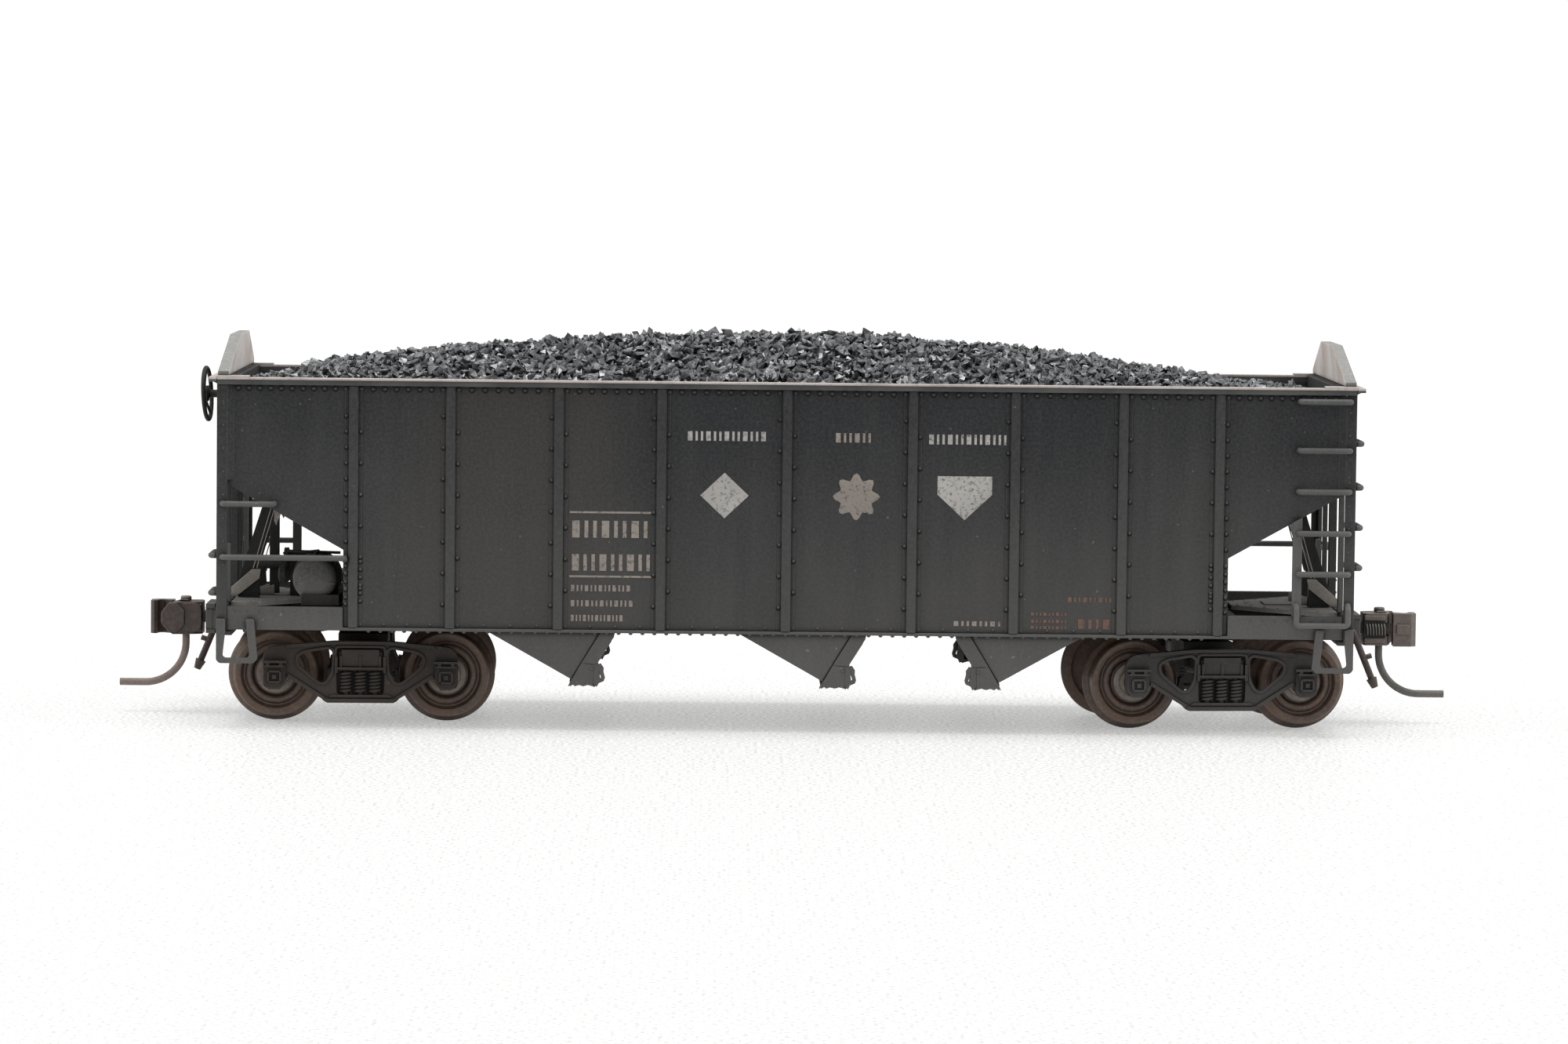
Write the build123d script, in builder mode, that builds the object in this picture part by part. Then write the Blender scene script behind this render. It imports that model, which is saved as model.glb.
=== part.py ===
from build123d import *
import os
from math import cos, radians, sin, tan

# HO scale model of a three-bay open hopper car, in millimetres.
# X runs along the car, Y across it, Z up. The origin is under the middle of the car, on the plane
# that the wheel flanges stand on. The A end is at +X; the B end, with the hand brake, is at -X.
# Apart from the brake gear, the car looks the same after half a turn about Z.

os.makedirs("parts", exist_ok=True)

# Driving dimensions
body_half_length = 63.5
post_outer_y = 18.0
sheet_outer_y = 17.5
sheet_inner_y = 16.7
rail_outer_y = 18.3
rail_bottom_z = 38.4
rail_top_z = 39.2
sill_outer_y = 17.9
sill_inner_y = 17.0
sill_bottom_z = 11.05
sill_strip_z = 11.4
sill_top_z = 13.65
peak_top_z = 43.6
post_width = 1.1
side_post_x = (14.0, 25.45, 37.5, 48.3)
bay_cutout_x = 49.4
end_sheet_outer_x = 62.3
slope_angle = 29.3
slope_top_z = 27.3
sheet_gauge = 0.6
door_angle = 59.0
outlet_z = 5.8
outlet_x = 23.9
bay_side_y = 17.2
centre_outlet_x = 4.2
centre_sill_half_width = 2.5
centre_sill_bottom_z = 9.95
centre_sill_top_z = 13.15
platform_gauge = 0.5
truck_x = 48.05
wheelbase = 19.26
wheel_tread_radius = 4.81
wheel_flange_radius = 5.45
wheel_back_y = 7.25
wheel_face_y = 10.05
axle_radius = 1.0
journal_radius = 0.5
journal_gap = 0.05
truck_yaw = {"a": 5.8, "b": 1.6}
coupler_z = 10.95
coupler_pivot_x = 59.5
knuckle_pin_x = 68.45
rung_radius = 0.33
load_gap = 0.35
load_bottom_z = 36.4

axle_z = wheel_flange_radius
slope = tan(radians(slope_angle))
up = Vector(0, 0, 1)


def slope_z(x):
    """Height of the underside of the A end slope sheet at x."""
    return slope_top_z - slope * (end_sheet_outer_x - x)


def turned_half_way(plane):
    """The same plane after half a turn of the car about Z."""
    origin, x_dir, z_dir = plane.origin, plane.x_dir, plane.z_dir
    return Plane(
        origin=(-origin.X, -origin.Y, origin.Z),
        x_dir=(-x_dir.X, -x_dir.Y, x_dir.Z),
        z_dir=(-z_dir.X, -z_dir.Y, z_dir.Z),
    )


def side_plane(y):
    """An upright plane along the car at y, facing -Y, drawn in X and Z."""
    return Plane.XZ.offset(-y)


def cross_plane(x):
    """An upright plane across the car at x, facing +X, drawn in Y and Z."""
    return Plane.YZ.offset(x)


def level_plane(z):
    return Plane.XY.offset(z)


def both(plane):
    """A plane at the A end and its twin at the B end."""
    return plane, turned_half_way(plane)


def save(piece, name):
    piece.label = name
    export_step(piece, f"parts/{name}.step")


def outline(*points):
    """A closed face through the points, in the sketch that is open."""
    with BuildLine() as border:
        Polyline(*points, close=True)
    make_face(border.edges())


# ---------------------------------------------------------------- car body: sides and rails

with BuildPart() as side_sheet_right:
    with BuildSketch(side_plane(-sheet_inner_y)):
        with BuildLine():
            Polyline(
                (0, sill_strip_z),
                (bay_cutout_x, sill_strip_z),
                (bay_cutout_x, slope_z(bay_cutout_x)),
                (end_sheet_outer_x, slope_top_z),
                (end_sheet_outer_x, rail_bottom_z),
                (0, rail_bottom_z),
            )
            mirror(about=Plane.YZ)
        make_face()
    extrude(amount=sheet_outer_y - sheet_inner_y)
save(side_sheet_right.part, "side_sheet_right")

with BuildPart() as side_sheet_left:
    add(side_sheet_right.part)
    mirror(about=Plane.XZ, mode=Mode.REPLACE)
save(side_sheet_left.part, "side_sheet_left")

post_positions = [(x * end, 0) for x in side_post_x for end in (-1, 1)] + [(0, 0)]
post_height = rail_bottom_z - sill_strip_z
with BuildPart() as side_posts:
    for plane in both(side_plane(-sheet_outer_y)):
        with BuildSketch(plane):
            with Locations((0, (sill_strip_z + rail_bottom_z) / 2)):
                with Locations(*post_positions):
                    Rectangle(post_width, post_height)
        extrude(amount=post_outer_y - sheet_outer_y)
    long_edges = side_posts.edges().filter_by(Axis.Z).filter_by(
        lambda edge: abs(edge.center().Y) > post_outer_y - 0.01
    )
    chamfer(long_edges, length=0.18)
save(side_posts.part, "side_posts")

# Each side rail is an angle with a thin lip along the top of its outer face, and its corners
# carry a raised cap.
rail_cap_length = 3.6
rail_cap_height = 0.2
rail_end_x = 64.5
with BuildPart() as top_rails:
    with BuildSketch(*both(cross_plane(-body_half_length))):
        outline(
            (-sheet_inner_y, rail_bottom_z),
            (-rail_outer_y + 0.15, rail_bottom_z),
            (-rail_outer_y + 0.15, rail_top_z - 0.28),
            (-rail_outer_y, rail_top_z - 0.22),
            (-rail_outer_y, rail_top_z),
            (-sheet_inner_y, rail_top_z),
        )
    extrude(amount=2 * body_half_length)
    for end in (-1, 1):
        cap_x = end * (body_half_length - rail_cap_length / 2)
        cap_y = (rail_outer_y + sheet_inner_y) / 2
        with BuildSketch(level_plane(rail_top_z)):
            with Locations((cap_x, -cap_y), (cap_x, cap_y)):
                Rectangle(rail_cap_length, rail_outer_y - sheet_inner_y)
        extrude(amount=rail_cap_height)
    # Across each end: an angle between the side rails, its outer edge drawn out to a nose.
    for plane in both(side_plane(sheet_inner_y - 0.02)):
        with BuildSketch(plane):
            outline(
                (end_sheet_outer_x, rail_bottom_z),
                (body_half_length, rail_bottom_z),
                (rail_end_x, rail_top_z - 0.35),
                (rail_end_x, rail_top_z),
                (end_sheet_outer_x, rail_top_z),
            )
        extrude(amount=2 * sheet_inner_y - 0.04)
    for plane in both(level_plane(rail_top_z)):
        for end in (-1, 1):
            with BuildSketch(plane):
                outline(
                    (body_half_length + 0.02, end * (sheet_inner_y - 0.1)),
                    (body_half_length + 0.02, end * rail_outer_y),
                    (rail_end_x, end * (rail_outer_y - 0.7)),
                    (rail_end_x, end * (sheet_inner_y - 0.1)),
                )
            extrude(amount=-0.5)
save(top_rails.part, "top_rails")

corner_leg = 1.25
with BuildPart() as corner_posts:
    with BuildSketch(level_plane(sill_bottom_z)):
        with BuildLine():
            Polyline(
                (end_sheet_outer_x + 0.02, post_outer_y),
                (body_half_length, post_outer_y),
                (body_half_length, post_outer_y - corner_leg),
                (body_half_length - 0.4, post_outer_y - corner_leg),
                (body_half_length - 0.4, post_outer_y - 0.4),
                (end_sheet_outer_x + 0.02, post_outer_y - 0.4),
                close=True,
            )
        make_face()
        mirror(about=Plane.YZ)
        mirror(about=Plane.XZ)
    extrude(amount=rail_bottom_z - sill_bottom_z)
save(corner_posts.part, "corner_posts")

# The side sill is a narrow strip below the sheet, and a deep channel beside each end opening.
with BuildPart() as side_sills:
    with BuildSketch(*both(side_plane(-sill_inner_y))):
        with BuildLine():
            Polyline(
                (0, sill_bottom_z),
                (end_sheet_outer_x, sill_bottom_z),
                (end_sheet_outer_x, sill_top_z),
                (bay_cutout_x, sill_top_z),
                (bay_cutout_x, sill_strip_z),
                (0, sill_strip_z),
            )
            mirror(about=Plane.YZ)
        make_face()
    extrude(amount=sill_outer_y - sill_inner_y)
save(side_sills.part, "side_sills")

# ---------------------------------------------------------------- car body: ends

end_sheet_inner_x = end_sheet_outer_x - 0.8
ledge_half_width = 12.0
slope_sheet_rise = sheet_gauge / cos(radians(slope_angle))
with BuildPart() as end_sheets:
    with BuildSketch(*both(cross_plane(end_sheet_inner_x))):
        outline(
            (-sheet_inner_y, slope_top_z + slope_sheet_rise),
            (sheet_inner_y, slope_top_z + slope_sheet_rise),
            (sheet_inner_y, rail_top_z),
            (-sheet_inner_y, rail_top_z),
        )
    extrude(amount=end_sheet_outer_x - end_sheet_inner_x)
    for plane in both(side_plane(ledge_half_width)):
        with BuildSketch(plane):
            outline(
                (end_sheet_inner_x, load_bottom_z - 0.1),
                (end_sheet_inner_x - 1.2, load_bottom_z - 0.1),
                (end_sheet_inner_x, load_bottom_z - 1.6),
            )
        extrude(amount=2 * ledge_half_width)
save(end_sheets.part, "end_sheets")

# The peaked extension stands on the end rail and leans in a little towards its narrow top.
peak_half_width = 17.6
peak_top_half_width = 5.8
peak_shoulder = 0.5
peak_thickness = 1.3
peak_lean = 0.4
peak_base_z = rail_top_z + rail_cap_height
with BuildPart() as end_peaks:
    for plane in both(side_plane(peak_half_width)):
        with BuildSketch(plane):
            outline(
                (body_half_length - peak_thickness, peak_base_z),
                (body_half_length, peak_base_z),
                (body_half_length - peak_lean, peak_top_z),
                (body_half_length - peak_lean - peak_thickness, peak_top_z),
            )
        extrude(amount=2 * peak_half_width)
    with BuildSketch(cross_plane(-body_half_length - 1)):
        outline(
            (-peak_half_width, peak_base_z),
            (peak_half_width, peak_base_z),
            (peak_half_width, peak_base_z + peak_shoulder),
            (peak_top_half_width, peak_top_z),
            (-peak_top_half_width, peak_top_z),
            (-peak_half_width, peak_base_z + peak_shoulder),
        )
    extrude(amount=2 * body_half_length + 2, mode=Mode.INTERSECT)
save(end_peaks.part, "end_peaks")

# Below the end sheet each end post stands free on the end sill; the middle one is the deeper.
end_post_y = 8.5
end_post_width = 1.2
end_posts_x = {-end_post_y: (62.7, 63.2), 0.0: (62.5, 63.35), end_post_y: (62.7, 63.2)}
with BuildPart() as end_posts:
    for y, (post_back_x, post_front_x) in end_posts_x.items():
        for plane in both(side_plane(y + end_post_width / 2)):
            with BuildSketch(plane):
                outline(
                    (post_back_x, sill_top_z + 0.05),
                    (post_front_x, sill_top_z + 0.05),
                    (post_front_x, rail_bottom_z),
                    (end_sheet_outer_x, rail_bottom_z),
                    (end_sheet_outer_x, slope_top_z + slope_sheet_rise + 0.5),
                    (post_back_x, slope_top_z + slope_sheet_rise),
                )
            extrude(amount=end_post_width)
save(end_posts.part, "end_posts")

# Diagonal braces carry the slope sheet on the end sill, on a small sloped foot each; at the
# B end an upright prop on the platform helps them.
brace_y = 5.0
brace_gauge = 1.1
prop_x = -58.35
prop_depth = 1.1
prop_width = 1.0
with BuildPart() as end_braces:
    for y in (-brace_y, brace_y):
        for plane in both(side_plane(y + brace_gauge / 2)):
            with BuildSketch(plane):
                outline(
                    (57.55, slope_z(57.55) - 0.05),
                    (58.95, slope_z(58.95) - 0.05),
                    (62.05, 15.6),
                    (62.15, sill_top_z + 0.1),
                    (59.6, sill_top_z + 0.1),
                    (59.8, 16.9),
                    (60.6, 16.55),
                )
            extrude(amount=brace_gauge)
    with BuildSketch(level_plane(centre_sill_top_z + platform_gauge + 0.02)):
        with Locations((prop_x, 0)):
            Rectangle(prop_depth, prop_width)
    extrude(amount=slope_z(-prop_x - prop_depth / 2) - centre_sill_top_z - platform_gauge - 0.05)
save(end_braces.part, "end_braces")

end_sill_top_z = sill_top_z + 0.05
coupler_slot_half_width = 3.25
coupler_slot_top_z = 12.55
with BuildPart() as end_sills:
    for plane in both(side_plane(sheet_inner_y - 0.1)):
        with BuildSketch(plane):
            outline(
                (61.9, 10.3),
                (63.3, 10.3),
                (63.3, end_sill_top_z),
                (62.5, end_sill_top_z),
                (62.5, 10.75),
                (61.9, 10.75),
            )
        extrude(amount=2 * sheet_inner_y - 0.2)
    with BuildSketch(*both(cross_plane(60.0))):
        with Locations((0, (coupler_slot_top_z + 9.0) / 2)):
            Rectangle(2 * coupler_slot_half_width, coupler_slot_top_z - 9.0)
    extrude(amount=4.0, mode=Mode.SUBTRACT)
save(end_sills.part, "end_sills")

# The platform widens from the bolster to the end sill and lies on the centre sill.
platform_inner_x = 51.1
with BuildPart() as end_platforms:
    with BuildSketch(*both(level_plane(centre_sill_top_z))):
        outline(
            (platform_inner_x, -3.0),
            (60.5, -12.0),
            (62.4, -12.0),
            (62.4, 12.0),
            (60.5, 12.0),
            (platform_inner_x, 3.0),
        )
        with Locations(*[(x, y) for x in (53.5, 56.5, 59.5) for y in (-1.6, 1.6)]):
            Circle(0.3, mode=Mode.SUBTRACT)
    extrude(amount=platform_gauge)
save(end_platforms.part, "end_platforms")

# ---------------------------------------------------------------- car body: hopper

# The centre sill's way through the sheets.
with BuildPart() as sill_way:
    with BuildSketch(cross_plane(-70)):
        with Locations((0, (centre_sill_bottom_z + centre_sill_top_z) / 2)):
            Rectangle(
                2 * centre_sill_half_width + 0.1,
                centre_sill_top_z - centre_sill_bottom_z + 0.1,
            )
    extrude(amount=140)

with BuildPart() as slope_sheet_a:
    with BuildSketch(side_plane(sheet_inner_y - 0.1)):
        outline(
            (end_sheet_outer_x, slope_top_z),
            (end_sheet_outer_x, slope_top_z + slope_sheet_rise),
            (outlet_x, slope_z(outlet_x) + slope_sheet_rise),
            (outlet_x, slope_z(outlet_x)),
        )
    extrude(amount=2 * sheet_inner_y - 0.2)
    add(sill_way.part, mode=Mode.SUBTRACT)
save(slope_sheet_a.part, "slope_sheet_a")

with BuildPart() as slope_sheet_b:
    add(slope_sheet_a.part)
    mirror(about=Plane.YZ, mode=Mode.REPLACE)
save(slope_sheet_b.part, "slope_sheet_b")

# Between the bays, two sheets meet in a ridge: a bay's steep door side and its neighbour's slope.
door_rise = tan(radians(door_angle))
door_top_x = outlet_x - (sill_bottom_z - outlet_z) / door_rise
centre_door_x = centre_outlet_x + (sill_bottom_z - outlet_z) / door_rise
door_sheet_run = sheet_gauge / sin(radians(door_angle))
b_ridge = (-16.85, 17.6)
a_ridge = (14.2, 21.9)
with BuildPart() as cross_ridge_sheets:
    with BuildSketch(side_plane(sheet_inner_y - 0.1)):
        outline(
            b_ridge,
            (b_ridge[0], b_ridge[1] + slope_sheet_rise),
            (centre_outlet_x, outlet_z + slope_sheet_rise),
            (centre_outlet_x, outlet_z),
        )
        outline(
            (-door_top_x, sill_bottom_z + 0.05),
            (-door_top_x - door_sheet_run, sill_bottom_z + 0.05),
            (b_ridge[0] - door_sheet_run - 0.05, b_ridge[1]),
            (b_ridge[0] - 0.05, b_ridge[1]),
        )
        outline(
            (centre_door_x, sill_bottom_z + 0.05),
            (centre_door_x - door_sheet_run, sill_bottom_z + 0.05),
            (a_ridge[0] - door_sheet_run - 0.02, a_ridge[1]),
            (a_ridge[0] - 0.02, a_ridge[1]),
        )
        outline(
            (door_top_x, sill_bottom_z + 0.05),
            (door_top_x + door_sheet_run, sill_bottom_z + 0.05),
            (a_ridge[0] + door_sheet_run + 0.02, a_ridge[1]),
            (a_ridge[0] + 0.02, a_ridge[1]),
        )
    extrude(amount=2 * sheet_inner_y - 0.2)
    add(sill_way.part, mode=Mode.SUBTRACT)
save(cross_ridge_sheets.part, "cross_ridge_sheets")

# A bay's outside is a triangular sheet: slope, door side, and the sill above. Bays A and B mirror
# each other; the centre bay has its door on the A side.
bays = {
    "b": (-outlet_x, -door_top_x, -(outlet_x + (sill_bottom_z - outlet_z) / slope)),
    "centre": (
        centre_outlet_x,
        centre_door_x,
        centre_outlet_x - (sill_bottom_z - outlet_z) / slope,
    ),
    "a": (outlet_x, door_top_x, outlet_x + (sill_bottom_z - outlet_z) / slope),
}
with BuildPart() as bay_side_sheets:
    for tip_x, door_x, slope_x in bays.values():
        with BuildSketch(side_plane(-sheet_inner_y + 0.05)):
            outline(
                (slope_x, sill_bottom_z - 0.02),
                (tip_x, outlet_z),
                (door_x, sill_bottom_z - 0.02),
            )
    extrude(amount=bay_side_y - sheet_inner_y + 0.05)
    mirror(about=Plane.XZ)
save(bay_side_sheets.part, "bay_side_sheets")


def door_point(tip_x, out, along, outward):
    """A point beside a bay's door: along it from the tip, and outward from it."""
    run = cos(radians(door_angle))
    rise = sin(radians(door_angle))
    return (
        tip_x + out * (along * run + outward * rise),
        outlet_z + along * rise - outward * run,
    )


door_length = 5.6
door_inner_y = 2.9
door_outer_y = 15.6
with BuildPart() as hopper_doors:
    for tip_x, door_x, _ in bays.values():
        out = 1 if door_x > tip_x else -1
        with BuildSketch(side_plane(door_outer_y)):
            outline(
                door_point(tip_x, out, 0.3, 0.15),
                door_point(tip_x, out, 0.3, 0.75),
                door_point(tip_x, out, door_length, 0.75),
                door_point(tip_x, out, door_length, 0.15),
            )
    extrude(amount=door_outer_y - door_inner_y)
    mirror(about=Plane.XZ)
save(hopper_doors.part, "hopper_doors")

# The outlet frame: a cheek beside the door on each side of the car, with a bar between them.
frame_outer_y = bay_side_y + 0.05
cheek_inner_y = 15.9
with BuildPart() as outlet_frames:
    for tip_x, door_x, _ in bays.values():
        out = 1 if door_x > tip_x else -1
        with BuildSketch(side_plane(-cheek_inner_y)):
            outline(
                door_point(tip_x, out, 0.05, 0.05),
                (tip_x - out * 0.35, outlet_z - 0.85),
                (tip_x + out * 0.1, outlet_z - 0.6),
                (tip_x + out * 1.6, outlet_z - 0.75),
                (tip_x + out * 2.3, outlet_z - 0.45),
                (tip_x + out * 2.9, outlet_z - 0.85),
                (tip_x + out * 3.25, outlet_z - 0.1),
                (tip_x + out * 3.0, outlet_z + 1.9),
                door_point(tip_x, out, 6.05, 1.65),
                door_point(tip_x, out, 6.05, 0.05),
            )
        extrude(amount=frame_outer_y - cheek_inner_y)
    mirror(about=Plane.XZ)
    for tip_x, door_x, _ in bays.values():
        out = 1 if door_x > tip_x else -1
        with BuildSketch(side_plane(cheek_inner_y - 0.02)):
            with Locations((tip_x + out * 0.45, outlet_z - 0.45)):
                Rectangle(1.3, 0.55)
        extrude(amount=2 * cheek_inner_y - 0.04)
save(outlet_frames.part, "outlet_frames")

# Locks on the door frames: an upper loop and a lower loop, each a flat eye.
lock_y = 14.9
lock_gauge = 0.7
with BuildPart() as door_locks:
    for tip_x, door_x, _ in bays.values():
        out = 1 if door_x > tip_x else -1
        with BuildSketch(side_plane(-lock_y)):
            outline(
                door_point(tip_x, out, 3.2, 0.85),
                door_point(tip_x, out, 3.0, 2.3),
                door_point(tip_x, out, 3.7, 2.75),
                door_point(tip_x, out, 5.2, 1.8),
                door_point(tip_x, out, 5.3, 0.85),
            )
            with BuildLine():
                Polyline(
                    door_point(tip_x, out, 3.55, 1.15),
                    door_point(tip_x, out, 3.45, 2.05),
                    door_point(tip_x, out, 3.8, 2.3),
                    door_point(tip_x, out, 4.75, 1.55),
                    close=True,
                )
            make_face(mode=Mode.SUBTRACT)
        extrude(amount=lock_gauge)
    for tip_x, door_x, _ in bays.values():
        out = 1 if door_x > tip_x else -1
        with BuildSketch(side_plane(-lock_y)):
            outline(
                (tip_x + out * 3.35, outlet_z - 0.1),
                (tip_x + out * 3.15, outlet_z + 1.65),
                (tip_x + out * 3.6, outlet_z + 1.5),
                (tip_x + out * 4.1, outlet_z + 0.15),
                (tip_x + out * 3.8, outlet_z - 0.25),
            )
        extrude(amount=lock_gauge)
    mirror(about=Plane.XZ)
save(door_locks.part, "door_locks")

# ---------------------------------------------------------------- car body: underframe

box_rear_x = 56.4
sill_wall = 0.6
centre_plate_radius = 2.9
centre_plate_z = 9.65
with BuildPart() as centre_sill:
    with BuildSketch(cross_plane(-box_rear_x + 0.1)):
        outline(
            (-centre_sill_half_width, centre_sill_bottom_z),
            (-centre_sill_half_width, centre_sill_top_z),
            (centre_sill_half_width, centre_sill_top_z),
            (centre_sill_half_width, centre_sill_bottom_z),
            (centre_sill_half_width - sill_wall, centre_sill_bottom_z),
            (centre_sill_half_width - sill_wall, centre_sill_top_z - sill_wall),
            (-centre_sill_half_width + sill_wall, centre_sill_top_z - sill_wall),
            (-centre_sill_half_width + sill_wall, centre_sill_bottom_z),
        )
    extrude(amount=2 * box_rear_x - 0.2)
    with BuildSketch(level_plane(centre_plate_z)):
        with Locations((-truck_x, 0), (truck_x, 0)):
            Circle(centre_plate_radius)
    extrude(amount=centre_sill_bottom_z - centre_plate_z)
    with BuildSketch(level_plane(centre_sill_bottom_z)):
        with Locations((-truck_x, 0), (truck_x, 0)):
            Rectangle(2 * centre_plate_radius - 1.0, 2 * centre_sill_half_width)
    extrude(amount=2.0)
    with BuildSketch(level_plane(centre_plate_z)):
        with Locations((-truck_x, 0), (truck_x, 0)):
            Circle(0.9)
    extrude(amount=2.6, mode=Mode.SUBTRACT)
save(centre_sill.part, "centre_sill")

bolster_half_length_x = 2.9
bolster_inner_y = centre_sill_half_width + 0.05
with BuildPart() as body_bolsters:
    with BuildSketch(*both(cross_plane(truck_x - bolster_half_length_x))):
        with BuildLine():
            Polyline(
                (bolster_inner_y, 10.25),
                (8.0, 10.25),
                (sheet_inner_y - 0.05, 11.1),
                (sheet_inner_y - 0.05, 13.1),
                (bolster_inner_y, 13.1),
                close=True,
            )
        make_face()
        mirror(about=Plane.YZ)
    extrude(amount=2 * bolster_half_length_x)
save(body_bolsters.part, "body_bolsters")

# ---------------------------------------------------------------- ladders, grabs and steps


def bent_rod(path_points, bend, radius):
    """A round rod through the points, with a bend at each corner, in the part that is open."""
    with BuildLine() as path:
        FilletPolyline(*path_points, radius=bend)
    with BuildSketch(Plane(origin=path.line @ 0, z_dir=path.line % 0)) as section:
        Circle(radius)
    sweep(section.sketch, path=path.line)


def turned_point(point, turn):
    """The point as it is, or after half a turn of the car about Z."""
    x, y, z = point
    return x * turn, y * turn, z


rung_y = -18.8
ladder_inner_x = 57.0
ladder_outer_x = 62.75
side_rung_z = (37.7, 32.25, 27.65, 23.0, 18.45)
end_rung_x = 64.15
end_rung_z = (33.0, 28.1, 23.6, 19.1)
end_rung_y = (-17.3, -12.2)
end_stile_x = end_sheet_outer_x + 0.3
with BuildPart() as ladders:
    for turn in (1, -1):
        for z in side_rung_z:
            rung = (
                (ladder_inner_x + 0.15, -sheet_outer_y - 0.02, z),
                (ladder_inner_x + 0.15, rung_y, z),
                (ladder_outer_x, rung_y, z),
                (ladder_outer_x, -post_outer_y - 0.02, z),
            )
            bent_rod([turned_point(p, turn) for p in rung], 0.45, rung_radius)
        step = (
            (ladder_inner_x, -sill_outer_y - 0.4, 15.0),
            (ladder_inner_x, rung_y, 14.6),
            (ladder_inner_x, rung_y, 12.7),
            (ladder_outer_x, rung_y, 12.7),
            (ladder_outer_x, rung_y, 14.6),
            (ladder_outer_x, -post_outer_y - 0.2, 15.0),
        )
        bent_rod([turned_point(p, turn) for p in step], 0.4, rung_radius)
        for z in end_rung_z:
            rung = (
                (body_half_length + 0.02, end_rung_y[0], z),
                (end_rung_x, end_rung_y[0], z),
                (end_rung_x, end_rung_y[1], z),
                (body_half_length - 0.9, end_rung_y[1], z),
            )
            bent_rod([turned_point(p, turn) for p in rung], 0.3, rung_radius)
    with BuildSketch(*both(level_plane(end_sill_top_z + 0.05))):
        with Locations((end_stile_x, end_rung_y[1])):
            Rectangle(0.5, 0.9)
    extrude(amount=rail_bottom_z - end_sill_top_z - 0.1)
    with BuildSketch(*both(side_plane(-sill_inner_y - 0.55))):
        outline(
            (ladder_inner_x - 0.45, sill_top_z + 0.02),
            (ladder_inner_x + 0.55, sill_top_z + 0.02),
            (ladder_inner_x + 0.55, slope_z(ladder_inner_x + 0.55) + 0.1),
            (ladder_inner_x - 0.45, slope_z(ladder_inner_x - 0.45) + 0.1),
        )
    extrude(amount=0.8)
save(ladders.part, "ladders")

# Grab irons at the B end of the right side, and on the end sheet beside them; and their twins.
short_grab_z = 25.15
long_grab_z = 19.2
grab_outer_x = -62.8
with BuildPart() as grab_irons:
    for turn in (1, -1):
        short_grab = (
            (grab_outer_x, -post_outer_y - 0.02, short_grab_z),
            (grab_outer_x, rung_y, short_grab_z),
            (-57.1, rung_y, short_grab_z),
            (-57.1, -sheet_outer_y - 0.02, short_grab_z),
        )
        long_grab = (
            (grab_outer_x, -post_outer_y - 0.02, long_grab_z),
            (grab_outer_x, rung_y, long_grab_z),
            (-49.2, rung_y, long_grab_z),
            (-49.2, -sheet_outer_y - 0.02, long_grab_z - 0.3),
        )
        bent_rod([turned_point(p, turn) for p in short_grab], 0.45, rung_radius)
        bent_rod([turned_point(p, turn) for p in long_grab], 0.45, rung_radius)
        for z in (19.3, 15.1):
            end_grab = (
                (-body_half_length - 0.02, end_rung_y[0], z),
                (-end_rung_x, end_rung_y[0], z),
                (-end_rung_x, end_rung_y[1], z),
                (-body_half_length + 0.9, end_rung_y[1], z),
            )
            bent_rod([turned_point(p, turn) for p in end_grab], 0.3, rung_radius)
    with BuildSketch(*both(level_plane(end_sill_top_z + 0.05))):
        with Locations((-end_stile_x, end_rung_y[1])):
            Rectangle(0.5, 0.9)
    extrude(amount=20.2 - end_sill_top_z)
save(grab_irons.part, "grab_irons")

# Flat stirrup steps hang from the side sills under the four corners.
stirrup_outer_y = -sill_outer_y - 0.65
with BuildPart() as stirrup_steps:
    with BuildSketch(*both(side_plane(-post_outer_y - 0.02))):
        with BuildLine():
            Polyline(
                (-63.45, 12.3),
                (-63.45, 7.7),
                (-63.1, 7.35),
                (-59.3, 7.35),
                (-58.85, 7.8),
                (-59.25, 12.3),
                (-60.15, 12.3),
                (-59.75, 8.25),
                (-60.0, 7.95),
                (-62.45, 7.95),
                (-62.75, 8.2),
                (-62.45, 10.9),
                (-62.45, 12.3),
                close=True,
            )
        make_face()
        mirror(about=Plane.YZ)
    extrude(amount=0.6)
save(stirrup_steps.part, "stirrup_steps")

# ---------------------------------------------------------------- brake gear, B end

reservoir_x = -52.8
reservoir_z = 16.5
with BuildPart() as air_reservoir:
    with BuildSketch(cross_plane(reservoir_x)):
        with BuildLine():
            Polyline(
                (-14.9, reservoir_z),
                (-14.9, reservoir_z + 1.6),
                (-14.3, reservoir_z + 2.3),
                (-13.7, reservoir_z + 2.45),
                (-9.3, reservoir_z + 2.45),
                (-9.3, reservoir_z + 2.8),
                (-8.6, reservoir_z + 2.8),
                (-8.6, reservoir_z + 2.45),
                (-5.2, reservoir_z + 2.45),
                (-4.4, reservoir_z + 1.6),
                (-4.4, reservoir_z),
                close=True,
            )
        make_face()
    revolve(axis=Axis((reservoir_x, 0, reservoir_z), (0, 1, 0)))
    with BuildSketch(level_plane(13.68)):
        with Locations((reservoir_x + 0.3, -9.0)):
            Rectangle(3.4, 13.0)
    extrude(amount=0.5)
save(air_reservoir.part, "air_reservoir")

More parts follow.
